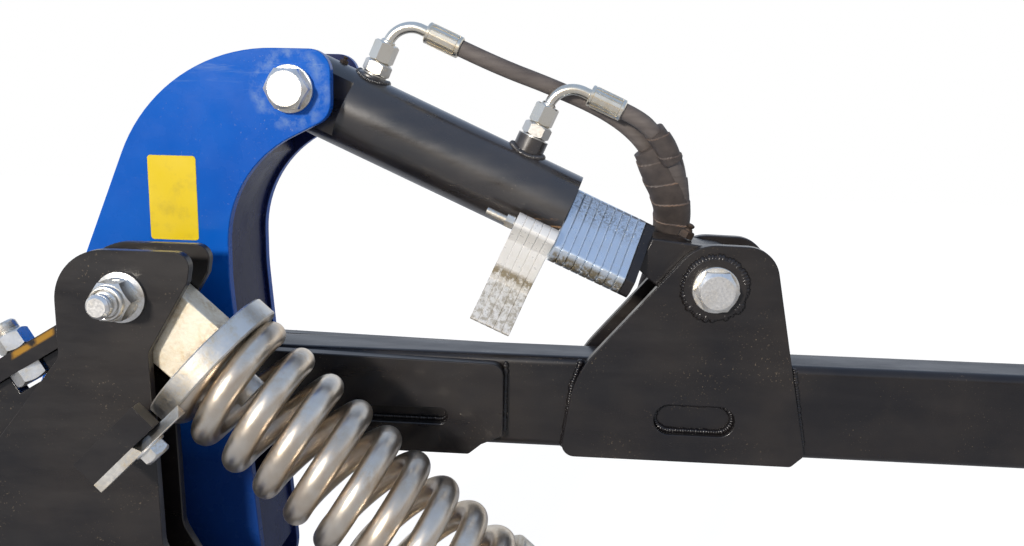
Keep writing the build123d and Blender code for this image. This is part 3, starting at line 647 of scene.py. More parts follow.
def endTree(tree, given, geometry):
    real = made(tree, "GeometryNodeRealizeInstances", Geometry=geometry)
    painted = made(tree, "GeometryNodeSetMaterial", Geometry=real, Material=given["Material"])
    addNode(tree, "NodeGroupOutput", Geometry=painted)


def runTree(tree, carrierMesh, values):
    carrier = newObject("carrier", carrierMesh)
    change = carrier.modifiers.new("make", "NODES")
    change.node_group = tree
    sockets = {item.name: item.identifier for item in tree.interface.items_tree if item.in_out == "INPUT"}
    for label, value in values.items():
        change[sockets[label]] = value
    return workedOut(carrier)


# weld beads: overlapping ripples set along a path
def makeWeldTree():
    sizes = {"Spacing": 0.0028, "Radius": 0.003, "Unevenness": 0.2, "Seed": 3}
    tree, given = startTree("weld bead", sizes)
    line = made(tree, "GeometryNodeMeshToCurve", Mesh=given["Geometry"])
    spaced = {"Curve": line, "Length": given["Spacing"]}
    points = made(tree, "GeometryNodeResampleCurve", {"mode": "LENGTH"}, **spaced)
    ripple = made(tree, "GeometryNodeMeshIcoSphere", Radius=1.0, Subdivisions=2)
    tangent = made(tree, "GeometryNodeInputTangent")
    turn = made(tree, "FunctionNodeAlignRotationToVector", {"axis": "X"}, Vector=tangent)
    vary = addNode(tree, "FunctionNodeRandomValue", Seed=given["Seed"])
    floats = [socket for socket in vary.inputs if socket.type == "VALUE"]
    for operation, socket in (("SUBTRACT", floats[0]), ("ADD", floats[1])):
        limit = made(tree, "ShaderNodeMath", {"operation": operation}, 1, given["Unevenness"])
        tree.links.new(limit, socket)
    varied = next(socket for socket in vary.outputs if socket.type == "VALUE")
    size = made(tree, "ShaderNodeCombineXYZ", None, given["Spacing"], given["Radius"], given["Radius"])
    scaled = made(tree, "ShaderNodeVectorMath", {"operation": "SCALE"}, size, Scale=varied)
    laid = {"Points": points, "Instance": ripple, "Rotation": turn, "Scale": scaled}
    endTree(tree, given, made(tree, "GeometryNodeInstanceOnPoints", **laid))
    return tree


weldTree = makeWeldTree()


def makeWeld(name, points, closed, values, material, body):
    line = bpy.data.meshes.new(name)
    count = len(points)
    edges = [(this, (this + 1) % count) for this in range(count if closed else count - 1)]
    line.from_pydata([tuple(point) for point in points], edges, [])
    piece = newObject(name, runTree(weldTree, line, {**values, "Material": material}))
    piece.data.shade_smooth()
    return finishPiece(piece, material, body)


def circlePoints(centre, first, second, radius, count=48):
    first, second = first * radius, second * radius
    return [centre + first * math.cos(angle) + second * math.sin(angle) for angle in roundAngles(count)]


xAxis = Vector((1, 0, 0))
zAxis = Vector((0, 0, 1))


# a slot's outline as points on an upright plane
def slotPoints(centre, length, height, depth, inset):
    reach = (length - height) / 2
    radius = height / 2 - inset
    points = []
    for side, start in ((1, -90), (-1, 90)):
        for step in range(9):
            angle = math.radians(start + step * 22.5)
            x = centre[0] + side * reach + radius * math.cos(angle)
            points.append(Vector((x, -depth, centre[1] + radius * math.sin(angle))))
    return points


# where a port's boss meets the barrel
def saddlePoints(along, bossRadius, barrelRadius, count=44):
    points = []
    for angle in roundAngles(count):
        away = bossRadius * math.sin(angle)
        across = math.sqrt(barrelRadius**2 - away**2)
        points.append(onCylinder(along + bossRadius * math.cos(angle), away, across))
    return points


def upright(depth, *pairs):
    return [Vector((x, -depth, z)) for x, z in pairs]


armFace, slotFace = 0.2055, 0.2050
rodPort, basePort, barrelRadius = 0.2443, 0.060, 0.0425
lugCorners = ((-0.0178, -0.0372), (-0.0178, 0.0372), (0.0178, 0.0372), (0.0178, -0.0372))
weldFinish = {"arm": blackPaint, "barrel": cylinderPaint, "frame": lugZinc}
weldLines = {
    "weldFishplateEnd": upright(armFace, (0.4085, 0.236), (0.4085, 0.312)),
    "weldBracketLeft": upright(armFace, (0.4745, 0.221), (0.4825, 0.292), (0.4905, 0.3165)),
    "weldBracketRight": upright(armFace, (0.7345, 0.234), (0.7195, 0.318)),
}
weldRings = {
    "weldFishplateSlot": slotPoints((0.300, 0.252), 0.092, 0.018, slotFace, 0.0012),
    "weldBracketSlot": slotPoints((0.6155, 0.259), 0.087, 0.034, slotFace, 0.0014),
    "weldRodCollar": circlePoints(rodPivot + towardViewer * 0.0425, xAxis, zAxis, 0.0318),
    "weldBasePort": saddlePoints(basePort, 0.0168, barrelRadius),
    "weldRodPort": saddlePoints(rodPort, 0.0178, barrelRadius),
    "weldLug": [onSpring(0.0905, away, across) for away, across in lugCorners],
}
weldSetup = {
    # name: body, radius, spacing, unevenness and seed
    "weldFishplateEnd": ("arm", 0.0032, 0.0028, 0.2, 3),
    "weldBracketLeft": ("arm", 0.0036, 0.0028, 0.2, 3),
    "weldBracketRight": ("arm", 0.0034, 0.0028, 0.2, 5),
    "weldFishplateSlot": ("arm", 0.0030, 0.0028, 0.2, 7),
    "weldBracketSlot": ("arm", 0.0034, 0.0028, 0.2, 8),
    "weldRodCollar": ("arm", 0.0052, 0.0034, 0.3, 11),
    "weldBasePort": ("barrel", 0.0032, 0.0019, 0.18, 2),
    "weldRodPort": ("barrel", 0.0036, 0.0019, 0.15, 4),
    "weldLug": ("frame", 0.0034, 0.0028, 0.3, 6),
}
for name, (body, *sizes) in weldSetup.items():
    points = weldLines.get(name) or weldRings[name]
    values = dict(zip(("Radius", "Spacing", "Unevenness", "Seed"), sizes))
    makeWeld(name, points, name in weldRings, values, weldFinish[body], body)
print("weld beads laid")


# threads: a ridge wound along a bar by its pitch
def makeThreadTree():
    tree, given = startTree("thread", {"Radius": 0.012, "Length": 0.015, "Pitch": 0.00175})
    turns = made(tree, "ShaderNodeMath", {"operation": "DIVIDE"}, given["Length"], given["Pitch"])
    radius = {"Start_Radius": given["Radius"], "End_Radius": given["Radius"]}
    spiral = {"Resolution": 40, "Rotations": turns, "Height": given["Length"], **radius}
    winding = made(tree, "GeometryNodeCurveSpiral", **spiral)
    half = made(tree, "ShaderNodeMath", {"operation": "MULTIPLY"}, given["Pitch"], 0.42)
    ridge = made(tree, "GeometryNodeCurvePrimitiveCircle", {"mode": "RADIUS"}, Resolution=4, Radius=half)
    wound = {"Curve": winding, "Profile_Curve": ridge, "Fill_Caps": True}
    endTree(tree, given, made(tree, "GeometryNodeCurveToMesh", **wound))
    return tree


# crimps: ribs set round a ferrule
def makeRibTree():
    sizes = {"Count": 8, "Radius": 0.011, "Length": 0.03, "Width": 0.0016, "Height": 0.0009}
    tree, given = startTree("ribs", sizes)
    ring = made(tree, "GeometryNodeMeshCircle", Vertices=given["Count"], Radius=given["Radius"])
    size = made(tree, "ShaderNodeCombineXYZ", None, given["Height"], given["Width"], given["Length"])
    rib = made(tree, "GeometryNodeMeshCube", Size=size)
    outward = made(tree, "GeometryNodeInputPosition")
    axes = {"axis": "X", "pivot_axis": "Z"}
    turn = made(tree, "FunctionNodeAlignRotationToVector", axes, Vector=outward)
    laid = {"Points": ring, "Instance": rib, "Rotation": turn}
    endTree(tree, given, made(tree, "GeometryNodeInstanceOnPoints", **laid))
    return tree


threadTree = makeThreadTree()
ribTree = makeRibTree()


# what a tree makes, placed and added to a mesh
def addMade(mesh, tree, place, values, material):
    part = runTree(tree, bpy.data.meshes.new("empty"), {**values, "Material": material})
    part.transform(place)
    mesh.from_mesh(part)
    bpy.data.meshes.remove(part)


def addThread(mesh, place, start, radius, length, pitch):
    sizes = {"Radius": radius, "Length": length, "Pitch": pitch}
    addMade(mesh, threadTree, place @ Matrix.Translation((0, 0, start)), sizes, boltZinc)


# pivot bolts: head with its turned corners and washer toward the viewer, nut and bolt end behind
boltSetup = {
    "flats": 0.0405,
    "headHeight": 0.019,
    "roundFace": 0.435,
    "washerRadius": 0.0245,
    "washerHeight": 0.0046,
    "shankRadius": 0.015,
    "nutHeight": 0.024,
    "tail": 0.008,
    "pitch": 0.002,
}
pivotBolts = {
    # name: pivot, near face and far face as depths, body, nodes
    "topBolt": (topPivot, 0.238, 0.110, "frame", ("mast_top_bolt", "mast_top_nut")),
    "armBolt": (armPivot, 0.238, 0.110, "frame", ("arm_pivot_bolt", "arm_pivot_nut")),
    "rodBolt": (rodPivot, 0.222, 0.126, "arm", ("rod_bolt", "rod_nut")),
    "leverBolt": (Vector((0.112, 0, -0.038)), 0.351, 0.293, "frame", ("lever_bolt", "lever_nut")),
}


def makePivotBolt(name, pivot, nearDepth, farDepth, body, nodes, setup):
    mesh = bmesh.new()
    near = axisFrame(Vector((pivot.x, -nearDepth, pivot.z)), towardViewer, xAxis)
    hexagon(mesh, near, setup["flats"], 0, setup["headHeight"], roundFace=setup["roundFace"])
    rim, top = setup["washerRadius"], setup["washerHeight"]
    turned(mesh, near, ((0, rim), (top - 0.0005, rim), (top, rim - 0.0006)))
    far = axisFrame(Vector((pivot.x, -farDepth, pivot.z)), awayFromViewer, xAxis)
    hexagon(mesh, far, setup["flats"], 0, setup["nutHeight"], True, True)
    end = setup["nutHeight"] + setup["tail"]
    radius = setup["shankRadius"]
    back = farDepth - nearDepth
    turned(mesh, far, ((back, radius), (end - 0.002, radius - 0.0006), (end, radius - 0.0022)))
    addThread(mesh, far, setup["nutHeight"], radius - 0.0007, setup["tail"] - 0.003, setup["pitch"])
    return meshPiece(name, mesh, boltZinc, body, *nodes)


for name, (pivot, nearDepth, farDepth, body, nodes) in pivotBolts.items():
    makePivotBolt(name, pivot, nearDepth, farDepth, body, nodes, boltSetup)

# hanger bolt: flange nut, locking collar and threaded end toward the viewer, head behind
hangerBoltSetup = {
    "nearDepth": 0.351,
    "farDepth": 0.293,
    "reach": 0.046,
    "radius": 0.012,
    "flats": 0.036,
    "flangeRadius": 0.0245,
    "flangeHeight": 0.005,
    "hexHeight": 0.025,
    "hexFoot": 0.004,
    "collarRadius": 0.0165,
    "collarHeight": 0.031,
    "headHeight": 0.015,
    "pitch": 0.00175,
}


def makeHangerBolt(setup):
    mesh = bmesh.new()
    near = axisFrame(Vector((hangerPivot.x, -setup["nearDepth"], hangerPivot.z)), towardViewer, xAxis)
    flange, flangeTop = setup["flangeRadius"], setup["flangeHeight"]
    rim = ((0, flange - 0.0006), (0.001, flange), (0.0032, flange), (flangeTop, flange - 0.0045))
    turned(mesh, near, (*rim, (0.0075, 0.0185)))
    hexagon(mesh, near, setup["flats"], setup["hexFoot"], setup["hexHeight"])
    collar, top = setup["collarRadius"], setup["collarHeight"]
    reach, radius = setup["reach"], setup["radius"]
    inside = radius + 0.0008
    collarRows = (
        (setup["hexHeight"] - 0.001, collar),
        (top - 0.0016, collar),
        (top - 0.0004, collar - 0.0008),
        (top, collar - 0.002),
        (top - 0.0003, inside + 0.0008),
        (top - 0.0022, inside),
    )
    turned(mesh, near, collarRows)
    core = radius - 0.0008
    back = setup["farDepth"] - setup["nearDepth"]
    turned(mesh, near, ((back, core), (reach - 0.0026, core), (reach, radius - 0.0032)))
    start = top - 0.002
    addThread(mesh, near, start, core, reach - start - 0.0035, setup["pitch"])
    far = axisFrame(Vector((hangerPivot.x, -setup["farDepth"], hangerPivot.z)), awayFromViewer, xAxis)
    hexagon(mesh, far, setup["flats"], 0, setup["headHeight"])
    return meshPiece("hangerBolt", mesh, boltZinc, "frame", "hanger_bolt", "hanger_nut")


makeHangerBolt(hangerBoltSetup)

# front bolt on the sloping stop plate, with its nut and a long threaded end
stopSlope = math.radians(yellowPatchLook["slope"])
stopAlong = Vector((math.cos(stopSlope), 0, math.sin(stopSlope)))
stopAcross = Vector((-math.sin(stopSlope), 0, math.cos(stopSlope)))
frontBoltSetup = {
    "corner": (-0.0943, -0.322, 0.3274),
    "place": 0.025,
    "plate": 0.020,
    "reach": 0.030,
    "radius": 0.012,
    "headFlats": 0.036,
    "headHeight": 0.015,
    "nutFlats": 0.030,
    "nutHeight": 0.018,
    "pitch": 0.00175,
}


def makeFrontBolt(setup):
    mesh = bmesh.new()
    origin = Vector(setup["corner"]) + stopAlong * setup["place"]
    place = axisFrame(origin, stopAcross, towardViewer)
    hexagon(mesh, place, setup["nutFlats"], 0, setup["nutHeight"], True, True)
    core, reach = setup["radius"] - 0.0008, setup["reach"]
    turned(mesh, place, ((-setup["plate"], core), (reach - 0.0018, core), (reach, core - 0.0018)))
    start = setup["nutHeight"] - 0.001
    addThread(mesh, place, start, core, reach - start - 0.0028, setup["pitch"])
    below = axisFrame(origin - stopAcross * setup["plate"], -stopAcross, towardViewer)
    hexagon(mesh, below, setup["headFlats"], 0, setup["headHeight"])
    return meshPiece("frontBolt", mesh, boltZinc, "frame", "front_bolt", "front_nut")


makeFrontBolt(frontBoltSetup)

# guard strap with its upper half bevelled toward the viewer, and the bolt behind it
strapSetup = {
    "start": 0.109,
    "lean": 3.8,
    "low": -0.1265,
    "high": -0.018,
    "bevelLow": -0.072,
    "thickness": 0.0098,
    "far": 0.3975,
    "near": 0.4115,
    "boltPlace": -0.063,
    "boltFlats": 0.024,
    "headHeight": 0.013,
    "edge": 0.0007,
}


def makeStrap(setup):
    lean = springAngle + math.radians(setup["lean"])
    through = Vector((math.cos(lean), 0, -math.sin(lean)))
    up = Vector((math.sin(lean), 0, math.cos(lean)))
    middle = hangerPivot + springAlong * setup["start"] + springAcross * setup["low"] / 2
    middle = Vector((middle.x, 0, middle.z))

    def corner(along, across, depth):
        return middle + through * across + up * (along - setup["low"] / 2) - awayFromViewer * depth

    thick, far, near = setup["thickness"], setup["far"], setup["near"]
    plain = ((0, near), (thick, near), (thick, far), (0, far))
    bevelled = ((thick - 0.0006, near), (thick, near), (thick, far), (0, far))
    mesh = bmesh.new()
    bevelLow = setup["bevelLow"]
    rows = ((setup["low"], plain), (bevelLow, plain), (bevelLow + 0.004, bevelled))
    rows = (*rows, (setup["high"], bevelled))
    skin(mesh, [[corner(along, across, depth) for across, depth in section] for along, section in rows])
    bmesh.ops.recalc_face_normals(mesh, faces=mesh.faces)
    edges = list(mesh.edges)
    bmesh.ops.bevel(mesh, geom=edges, offset=setup["edge"], segments=2, affect="EDGES", clamp_overlap=True)
    meshPiece("strap", mesh, zincPlate, "frame", "guard_strap")
    bolt = bmesh.new()
    seat = axisFrame(corner(setup["boltPlace"], thick, (far + near) / 2), through, up)
    turned(bolt, seat, ((0, 0.0152), (0.0014, 0.0152), (0.0022, 0.0146)))
    hexagon(bolt, seat, setup["boltFlats"], 0.0018, setup["headHeight"], roundFace=0.42)
    meshPiece("strapBolt", bolt, boltZinc, "frame", "strap_bolt")


makeStrap(strapSetup)
print("bolts made")

# hydraulic fittings: adapter, swivel nut, bent tube and crimped ferrule of each hose end
fittingSetup = {
    "adapterFlats": 0.027,
    "adapterHeight": 0.015,
    "nippleRadius": 0.008,
    "nippleHeight": 0.0006,
    "swivelFlats": 0.024,
    "swivelHeight": 0.0215,
    "tubeRadius": 0.006,
    "elbowRadius": 0.028,
    "ferruleRadius": 0.0122,
    "ferruleLength": 0.040,
    "crimps": 15,
}
portRows = {
    # port: place along the cylinder, boss top, elbow height, ferrule start
    "base": (basePort, 0.045, 0.110, 0.0935),
    "rod": (rodPort, 0.0585, 0.1244, 0.279),
}


def elbowRings(along, start, height, finish, radius, tubeRadius, sides=20, steps=14):
    centres = [(along, start, 0.0)]
    for step in range(steps + 1):
        t = math.pi / 2 * step / steps
        centres.append((along + radius * (1 - math.cos(t)), height - radius + radius * math.sin(t), t))
    centres.append((finish, height, math.pi / 2))
    rings = []
    for s, h, t in centres:
        out = -cylinderAlong * math.cos(t) + cylinderAcross * math.sin(t)
        rings.append(circlePoints(onCylinder(s, 0, h), awayFromViewer, out, tubeRadius, sides))
    return rings


def makeFitting(port, along, bossTop, elbowHeight, ferruleStart, setup):
    adapter = bmesh.new()
    place = axisFrame(onCylinder(along, 0, 0), cylinderAcross, cylinderAlong)
    top = bossTop + setup["adapterHeight"]
    turned(adapter, place, ((bossTop - 0.001, 0.0128), (bossTop + 0.0018, 0.0128)))
    hexagon(adapter, place, setup["adapterFlats"], bossTop + 0.0012, top, True, True)
    nipple, nutStart = setup["nippleRadius"], top + setup["nippleHeight"]
    turned(adapter, place, ((top - 0.001, nipple), (nutStart, nipple)))
    meshPiece("adapter_" + port + "_turned", adapter, zincPlate, "barrel", "adapter_" + port)
    end = bmesh.new()
    nutTop = nutStart + setup["swivelHeight"]
    turnedPlace = axisFrame(onCylinder(along, 0, 0), cylinderAcross, cylinderAlong + 0.35 * awayFromViewer)
    hexagon(end, turnedPlace, setup["swivelFlats"], nutStart, nutTop, True, True)
    turned(end, place, ((nutTop - 0.001, 0.0082), (nutTop + 0.0018, 0.0078), (nutTop + 0.003, 0.0064)))
    elbow = (ferruleStart + 0.002, setup["elbowRadius"], setup["tubeRadius"])
    skin(end, elbowRings(along, nutStart, elbowHeight, *elbow))
    long = setup["ferruleLength"]
    axis = axisFrame(onCylinder(ferruleStart, 0, elbowHeight), cylinderAlong, awayFromViewer)
    body = setup["ferruleRadius"] - 0.0005
    rows = (
        (0, 0.0078),
        (0.0002, body - 0.0012),
        (0.0012, body),
        (0.0038, body),
        (0.0044, body - 0.0006),
        (long - 0.0050, body - 0.0006),
        (long - 0.0044, body),
        (long - 0.0010, body),
        (long, body - 0.0010),
    )
    turned(end, axis, rows, 64)
    ribs = {"Count": setup["crimps"], "Radius": body - 0.0004, "Length": long - 0.010, "Width": 0.0034}
    addMade(end, ribTree, axis @ Matrix.Translation((0, 0, long / 2)), ribs, ferruleZinc)
    meshPiece("hoseEnd_" + port, end, ferruleZinc, "barrel", "hose_end_" + port)


for port, (along, bossTop, elbowHeight, ferruleStart) in portRows.items():
    makeFitting(port, along, bossTop, elbowHeight, ferruleStart, fittingSetup)


# a short collar under the base port's adapter, and grease nipples on the base and the rod's eye
collarRows = ((0.0405, 0.0185), (0.0418, 0.0195), (0.0436, 0.0192), (0.0449, 0.0165))
nippleRows = (
    (0.0040, 0.0026),
    (0.0052, 0.0024),
    (0.0058, 0.0017),
    (0.0064, 0.0022),
    (0.0072, 0.0026),
    (0.0080, 0.0022),
    (0.0085, 0.0010),
)
nippleSetup = {
    # name: place along the cylinder, foot's height over its axis, size and body
    "baseNipple": (0.0245, 0.0415, 1.0, "barrel"),
    "eyeNipple": (0.4395, 0.0315, 1.9, "rod"),
}


def makeCollar(rows):
    collar = bmesh.new()
    turned(collar, axisFrame(onCylinder(basePort, 0, 0), cylinderAcross, cylinderAlong), rows)
    meshPiece("basePortCollar", collar, cylinderPaint, "barrel")


def makeNipple(name, along, foot, size, body):
    nipple = bmesh.new()
    place = axisFrame(onCylinder(along, 0, foot), cylinderAcross, awayFromViewer)
    hexagon(nipple, place, 0.008 * size, 0, 0.0042 * size, False, True)
    turned(nipple, place, [(height * size, radius * size) for height, radius in nippleRows], 24)
    meshPiece(name, nipple, dirtySteel, body)


makeCollar(collarRows)
for name, values in nippleSetup.items():
    makeNipple(name, *values)
print("fittings made")

# hoses: points from the ferrule's end to the coupling, as x, depth and z in millimetres
hoseSetup = {
    "radius": 0.009,
    # each hose's start along and over the cylinder, and its straight first run
    "base": ((0.1335, 0.110), 0.045),
    "rod": ((0.319, 0.1244), 0.020),
}
baseRoute = [
    (447, 158, 612),
    (506, 152, 588),
    (544, 149, 562),
    (566, 140, 531),
    (575.5, 127, 494),
    (580, 112, 455),
    (573, 97, 410),
    (563, 88, 368),
    (556, 85, 332),
]
rodRoute = [
    (559.2, 170, 565.7),
    (571.7, 162, 550.3),
    (583.3, 152, 531.5),
    (594.5, 139, 508.5),
    (600, 123, 482),
    (600.5, 105, 455),
    (593, 90, 412),
    (588, 86, 372),
    (586, 84, 338),
]
hoseLook = {"colour": (0.120, 0.102, 0.094), "worn": (0.19, 0.165, 0.15)}
wrapLook = {"colour": (0.066, 0.055, 0.051), "worn": (0.11, 0.090, 0.080), "edge": (0.24, 0.155, 0.105)}


def makeHoseRubber(look):
    p = startMaterial("hose rubber")
    streak = noise(stretched(p, (0, 24, 0), (20, 90, 160)), 1, 5, 0.6)
    colour = mixColour(p, rangeOf(p, streak, 0.35, 0.75), look["colour"], look["worn"])
    paint(p, Base_Color=colour, Roughness=0.62)
    bump(p, noise(p, 650, 3), 0.25, 0.0004)
    return p.material


def makeWrapRubber(look):
    p = startMaterial("hose wrap")
    colour = mixColour(p, clouds(p, 70, 5, 0.55, 0.35, 0.7), look["colour"], look["worn"])
    edge = addNode(p.tree, "ShaderNodeAttribute", {"attribute_name": "edge"})
    broken = clouds(p, 45, 3, 0.55, 0.40, 0.60, 0.1, 1)
    colour = mixColour(p, times(p, edge.outputs["Fac"], broken), colour, look["edge"])
    paint(p, Base_Color=colour, Roughness=0.55)
    bump(p, noise(p, 420, 3), 0.2, 0.0004)
    return p.material


hoseRubber = makeHoseRubber(hoseLook)
wrapRubber = makeWrapRubber(wrapLook)

# the spiral wrap that gathers both hoses: x, depth, z, half width and half thickness, in millimetres
wrapSetup = {
    "pitch": 0.027,
    "step": 0.0013,
    "edge": 0.04,
    "squareness": 2.6,
    "ringEvery": 0.0008,
    "sides": 96,
}
bothRoute = [
    (559.6, 151, 550.2, 21.0, 12.8),
    (566.4, 149, 539.3, 23.2, 13.0),
    (573.8, 143, 523.7, 23.4, 13.4),
    (581.8, 134, 504.2, 21.8, 13.6),
    (587.9, 123.5, 482.8, 20.4, 13.4),
    (590.8, 113, 463, 20.6, 13.2),
    (588.5, 103, 436, 20.4, 13.0),
    (583, 95, 408, 19.6, 12.8),
]
singleRoute = [
    (560.5, 169, 566.5, 10.9, 10.9),
    (567.5, 165, 558.5, 11.4, 11.4),
    (575.0, 160, 548.0, 11.8, 11.8),
    (581.5, 154, 536.5, 11.6, 11.6),
]


def smoothRow(rows, place):
    span = min(int(place), len(rows) - 2)
    t = place - span
    near = [rows[min(max(k, 0), len(rows) - 1)] for k in range(span - 1, span + 3)]
    return [
        0.5 * (2 * q + (r - p) * t + (2 * p - 5 * q + 4 * r - s) * t * t + (3 * q - p - 3 * r + s) * t**3)
        for p, q, r, s in zip(*near)
    ]


# a smooth open curve through control points, as order three needs it
def smoothCurve(name, points):
    curve = bpy.data.curves.new(name, "CURVE")
    curve.dimensions = "3D"
    spline = curve.splines.new("NURBS")
    spline.points.add(len(points) - 1)
    for target, point in zip(spline.points, points):
        target.co = (*point, 1)
    spline.order_u = 3
    spline.use_endpoint_u = True
    return curve


def readCurve(name, points, resolution):
    curve = smoothCurve(name, points)
    curve.splines[0].resolution_u = resolution
    mesh = workedOut(newObject(name, curve))
    line = [vertex.co.copy() for vertex in mesh.vertices]
    bpy.data.meshes.remove(mesh)
    return line


def inMetres(rows):
    return [Vector((x, -depth, z)) / 1000 for x, depth, z, *rest in rows]


def makeWrap(name, rows, setup, phase):
    centres = readCurve(name + "Line", inMetres(rows), 60)
    last = len(centres) - 1
    samples = [smoothRow(rows, k / last * (len(rows) - 1)) for k in range(last + 1)]
    mesh = bmesh.new()
    edgeLayer = mesh.verts.layers.float.new("edge")
    run = 0.0
    due = 0.0
    rings = []
    for k, centre in enumerate(centres):
        if k:
            run += (centre - centres[k - 1]).length
        if run < due and k < last:
            continue
        due = run + setup["ringEvery"]
        ahead = (centres[min(k + 1, last)] - centres[max(k - 1, 0)]).normalized()
        side = ahead.cross(awayFromViewer).normalized()
        front = side.cross(ahead).normalized()
        wide, thick = samples[k][3] / 1000, samples[k][4] / 1000
        power = setup["squareness"]
        ring = []
        for angle in roundAngles(setup["sides"]):
            c, s = math.cos(angle), math.sin(angle)
            turn = run / setup["pitch"] - angle / (2 * math.pi) + phase
            inBand = turn - math.floor(turn)
            lift = setup["step"] * (1 - inBand)
            flat = (abs(c) ** power + abs(s) ** power) ** (-1 / power)
            across, over = (wide + lift) * flat * c, (thick + lift) * flat * s
            vertex = mesh.verts.new(centre + side * across + front * over)
            vertex[edgeLayer] = 1.0 if inBand < setup["edge"] else 0.0
            ring.append(vertex)
        rings.append(ring)
    joinRings(mesh, rings)
    return meshPiece(name, mesh, wrapRubber, "barrel")


bothWrap = makeWrap("hoseWrap", bothRoute, wrapSetup, 0.15)
singleWrap = makeWrap("hoseWrapTop", singleRoute, wrapSetup, 0.6)


def makeHose(name, start, firstRun, route, length, node, coupling, wrap):
    along, over = start
    points = [onCylinder(along, 0, over), onCylinder(along + firstRun, 0, over), *inMetres(route)]
    curve = smoothCurve(name, points)
    curve.splines[0].resolution_u = 10
    curve.bevel_depth = hoseSetup["radius"]
    curve.bevel_resolution = 6
    curve.use_fill_caps = True
    hose = finishPiece(newObject(name, curve), hoseRubber, "barrel", node)


makeHose("baseHose", *hoseSetup["base"], baseRoute, 0.4616, "hose_base", "coupling_base", bothWrap)
makeHose("rodHose", *hoseSetup["rod"], rodRoute, 0.2994, "hose_rod", "coupling_rod", singleWrap)
print("hoses made")

# a blank yellow plate stuck on the near mast plate
stickerSetup = {
    "left": 0.0295,
    "right": 0.0815,
    "low": 0.4425,
    "high": 0.5315,
    "depth": 0.238,
    "thickness": 0.0004,
    "corner": 0.0035,
}
stickerLook = {"colour": (0.90, 0.66, 0.004), "dirt": (0.55, 0.40, 0.03)}


def makeSticker(setup, look):
    p = startMaterial("yellow plate")
    colour = mixColour(p, clouds(p, 45, 5, 0.65, 0.52, 0.75, 0, 0.5), look["colour"], look["dirt"])
    paint(p, Base_Color=colour, Roughness=clouds(p, 30, 4, 0.55, 0.3, 0.7, 0.28, 0.42))
    bump(p, noise(p, 60, 3), 0.08, 0.0006)
    radius = setup["corner"]
    corners = (
        (setup["right"] - radius, setup["high"] - radius, 0),
        (setup["left"] + radius, setup["high"] - radius, 90),
        (setup["left"] + radius, setup["low"] + radius, 180),
        (setup["right"] - radius, setup["low"] + radius, 270),
    )
    outline = []
    for x, z, start in corners:
        for step in range(7):
            angle = math.radians(start + 15 * step)
            outline.append((x + radius * math.cos(angle), z + radius * math.sin(angle)))
    mesh = bmesh.new()
    depths = (setup["depth"], setup["depth"] + setup["thickness"])
    skin(mesh, [[Vector((x, -depth, z)) for x, z in outline] for depth in depths])
    return meshPiece("yellowPlate", mesh, p.material, "frame")


makeSticker(stickerSetup, stickerLook)
print("yellow plate stuck on")

# floor and light
floorSetup = {
    "middle": (0.4, 0, -0.24),
    "size": 14,
    "colour": (0.88, 0.88, 0.88),
    "glow": 1.25,
    "glowShare": 0.76,
}
sunSetup = {"strength": 2.7, "colour": (1.0, 0.93, 0.84), "toward": (-0.38, -0.87, 0.30), "angle": 7}
skySetup = {
    "ground": (0.30, 0.245, 0.185),
    "nearHorizon": (0.36, 0.31, 0.27),
    "farHorizon": (1.0, 0.99, 0.97),
    "middle": (0.62, 0.70, 0.84),
    "zenith": (0.36, 0.47, 0.68),
    "heights": (0.0, 0.44, 0.5, 0.53, 0.64, 0.85),
    "farSide": (-0.35, 0.45),
    "fill": (0.62, 0.72, 0.92),
    "fillStrength": 0.34,
    "glossStrength": 1.0,
}


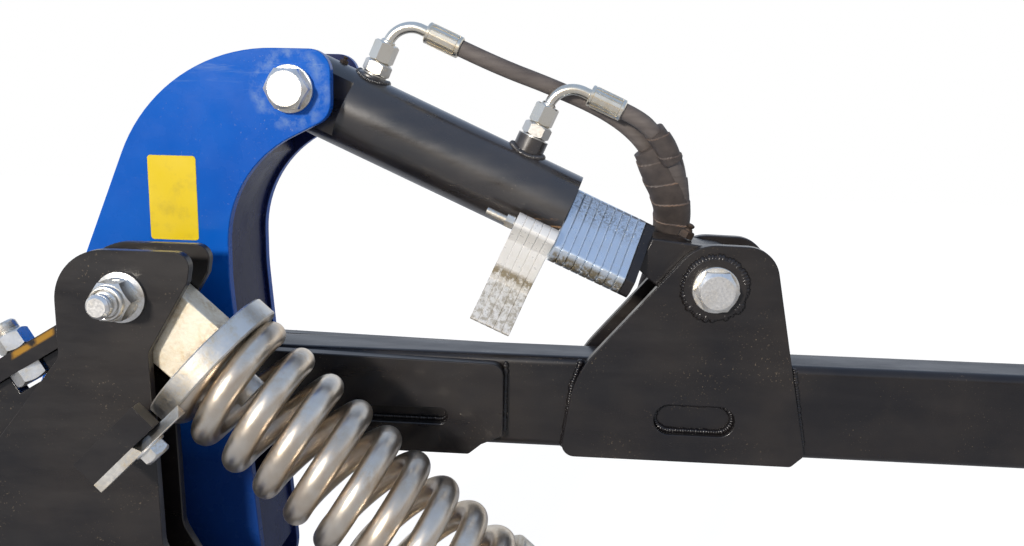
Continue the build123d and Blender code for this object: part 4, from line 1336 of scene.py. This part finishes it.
def makeFloor(setup):
    half = setup["size"] / 2
    corners = [(-half, -half, 0), (half, -half, 0), (half, half, 0), (-half, half, 0)]
    mesh = bpy.data.meshes.new("floor")
    mesh.from_pydata(corners, [], [(0, 1, 2, 3)])
    mesh.transform(Matrix.Translation(setup["middle"]))
    floor = newObject("floor", mesh)
    p = startMaterial("floor")
    paint(p, Base_Color=(*setup["colour"], 1), Roughness=0.9, Specular_IOR_Level=0.1)
    seenDirectly = addNode(p.tree, "ShaderNodeLightPath").outputs["Is Camera Ray"]
    glow = made(p.tree, "ShaderNodeEmission", Strength=setup["glow"])
    share = times(p, seenDirectly, setup["glowShare"])
    mixed = made(p.tree, "ShaderNodeMixShader", None, share, p.shader.outputs["BSDF"], glow)
    fill(p.tree, p.tree.nodes["Material Output"], Surface=mixed)
    giveMaterial(floor, p.material)


def makeWorld(setup):
    world = bpy.data.worlds.new("world")
    scene.world = world
    world.use_nodes = True
    tree = world.node_tree
    tree.nodes.clear()
    p = Paint(None, tree, None, None)
    path = addNode(tree, "ShaderNodeLightPath").outputs
    direction = addNode(tree, "ShaderNodeTexCoord").outputs["Generated"]
    split = addNode(tree, "ShaderNodeSeparateXYZ", Vector=direction).outputs
    height = rangeOf(p, split["Z"], -1, 1)
    skies = []
    for horizon in (setup["nearHorizon"], setup["farHorizon"]):
        colours = (setup["ground"], setup["ground"], horizon, horizon, setup["middle"], setup["zenith"])
        skies.append(ramp(p, height, list(zip(setup["heights"], colours))))
    mirrored = mixColour(p, rangeOf(p, split["Y"], *setup["farSide"]), *skies)
    seen = made(tree, "ShaderNodeBackground", Color=(*setup["fill"], 1), Strength=setup["fillStrength"])
    for ray, colour, strength in (
        ("Is Glossy Ray", mirrored, setup["glossStrength"]),
        ("Is Camera Ray", (1, 1, 1, 1), 1.0),
    ):
        other = made(tree, "ShaderNodeBackground", Color=colour, Strength=strength)
        seen = made(tree, "ShaderNodeMixShader", None, path[ray], seen, other)
    addNode(tree, "ShaderNodeOutputWorld", Surface=seen)


def makeSun(setup):
    data = bpy.data.lights.new("sun", "SUN")
    data.energy = setup["strength"]
    data.color = setup["colour"]
    data.angle = math.radians(setup["angle"])
    sun = newObject("sun", data)
    sun.rotation_euler = Vector(setup["toward"]).to_track_quat("Z", "Y").to_euler()


makeFloor(floorSetup)
makeWorld(skySetup)
makeSun(sunSetup)
print("floor and light made")
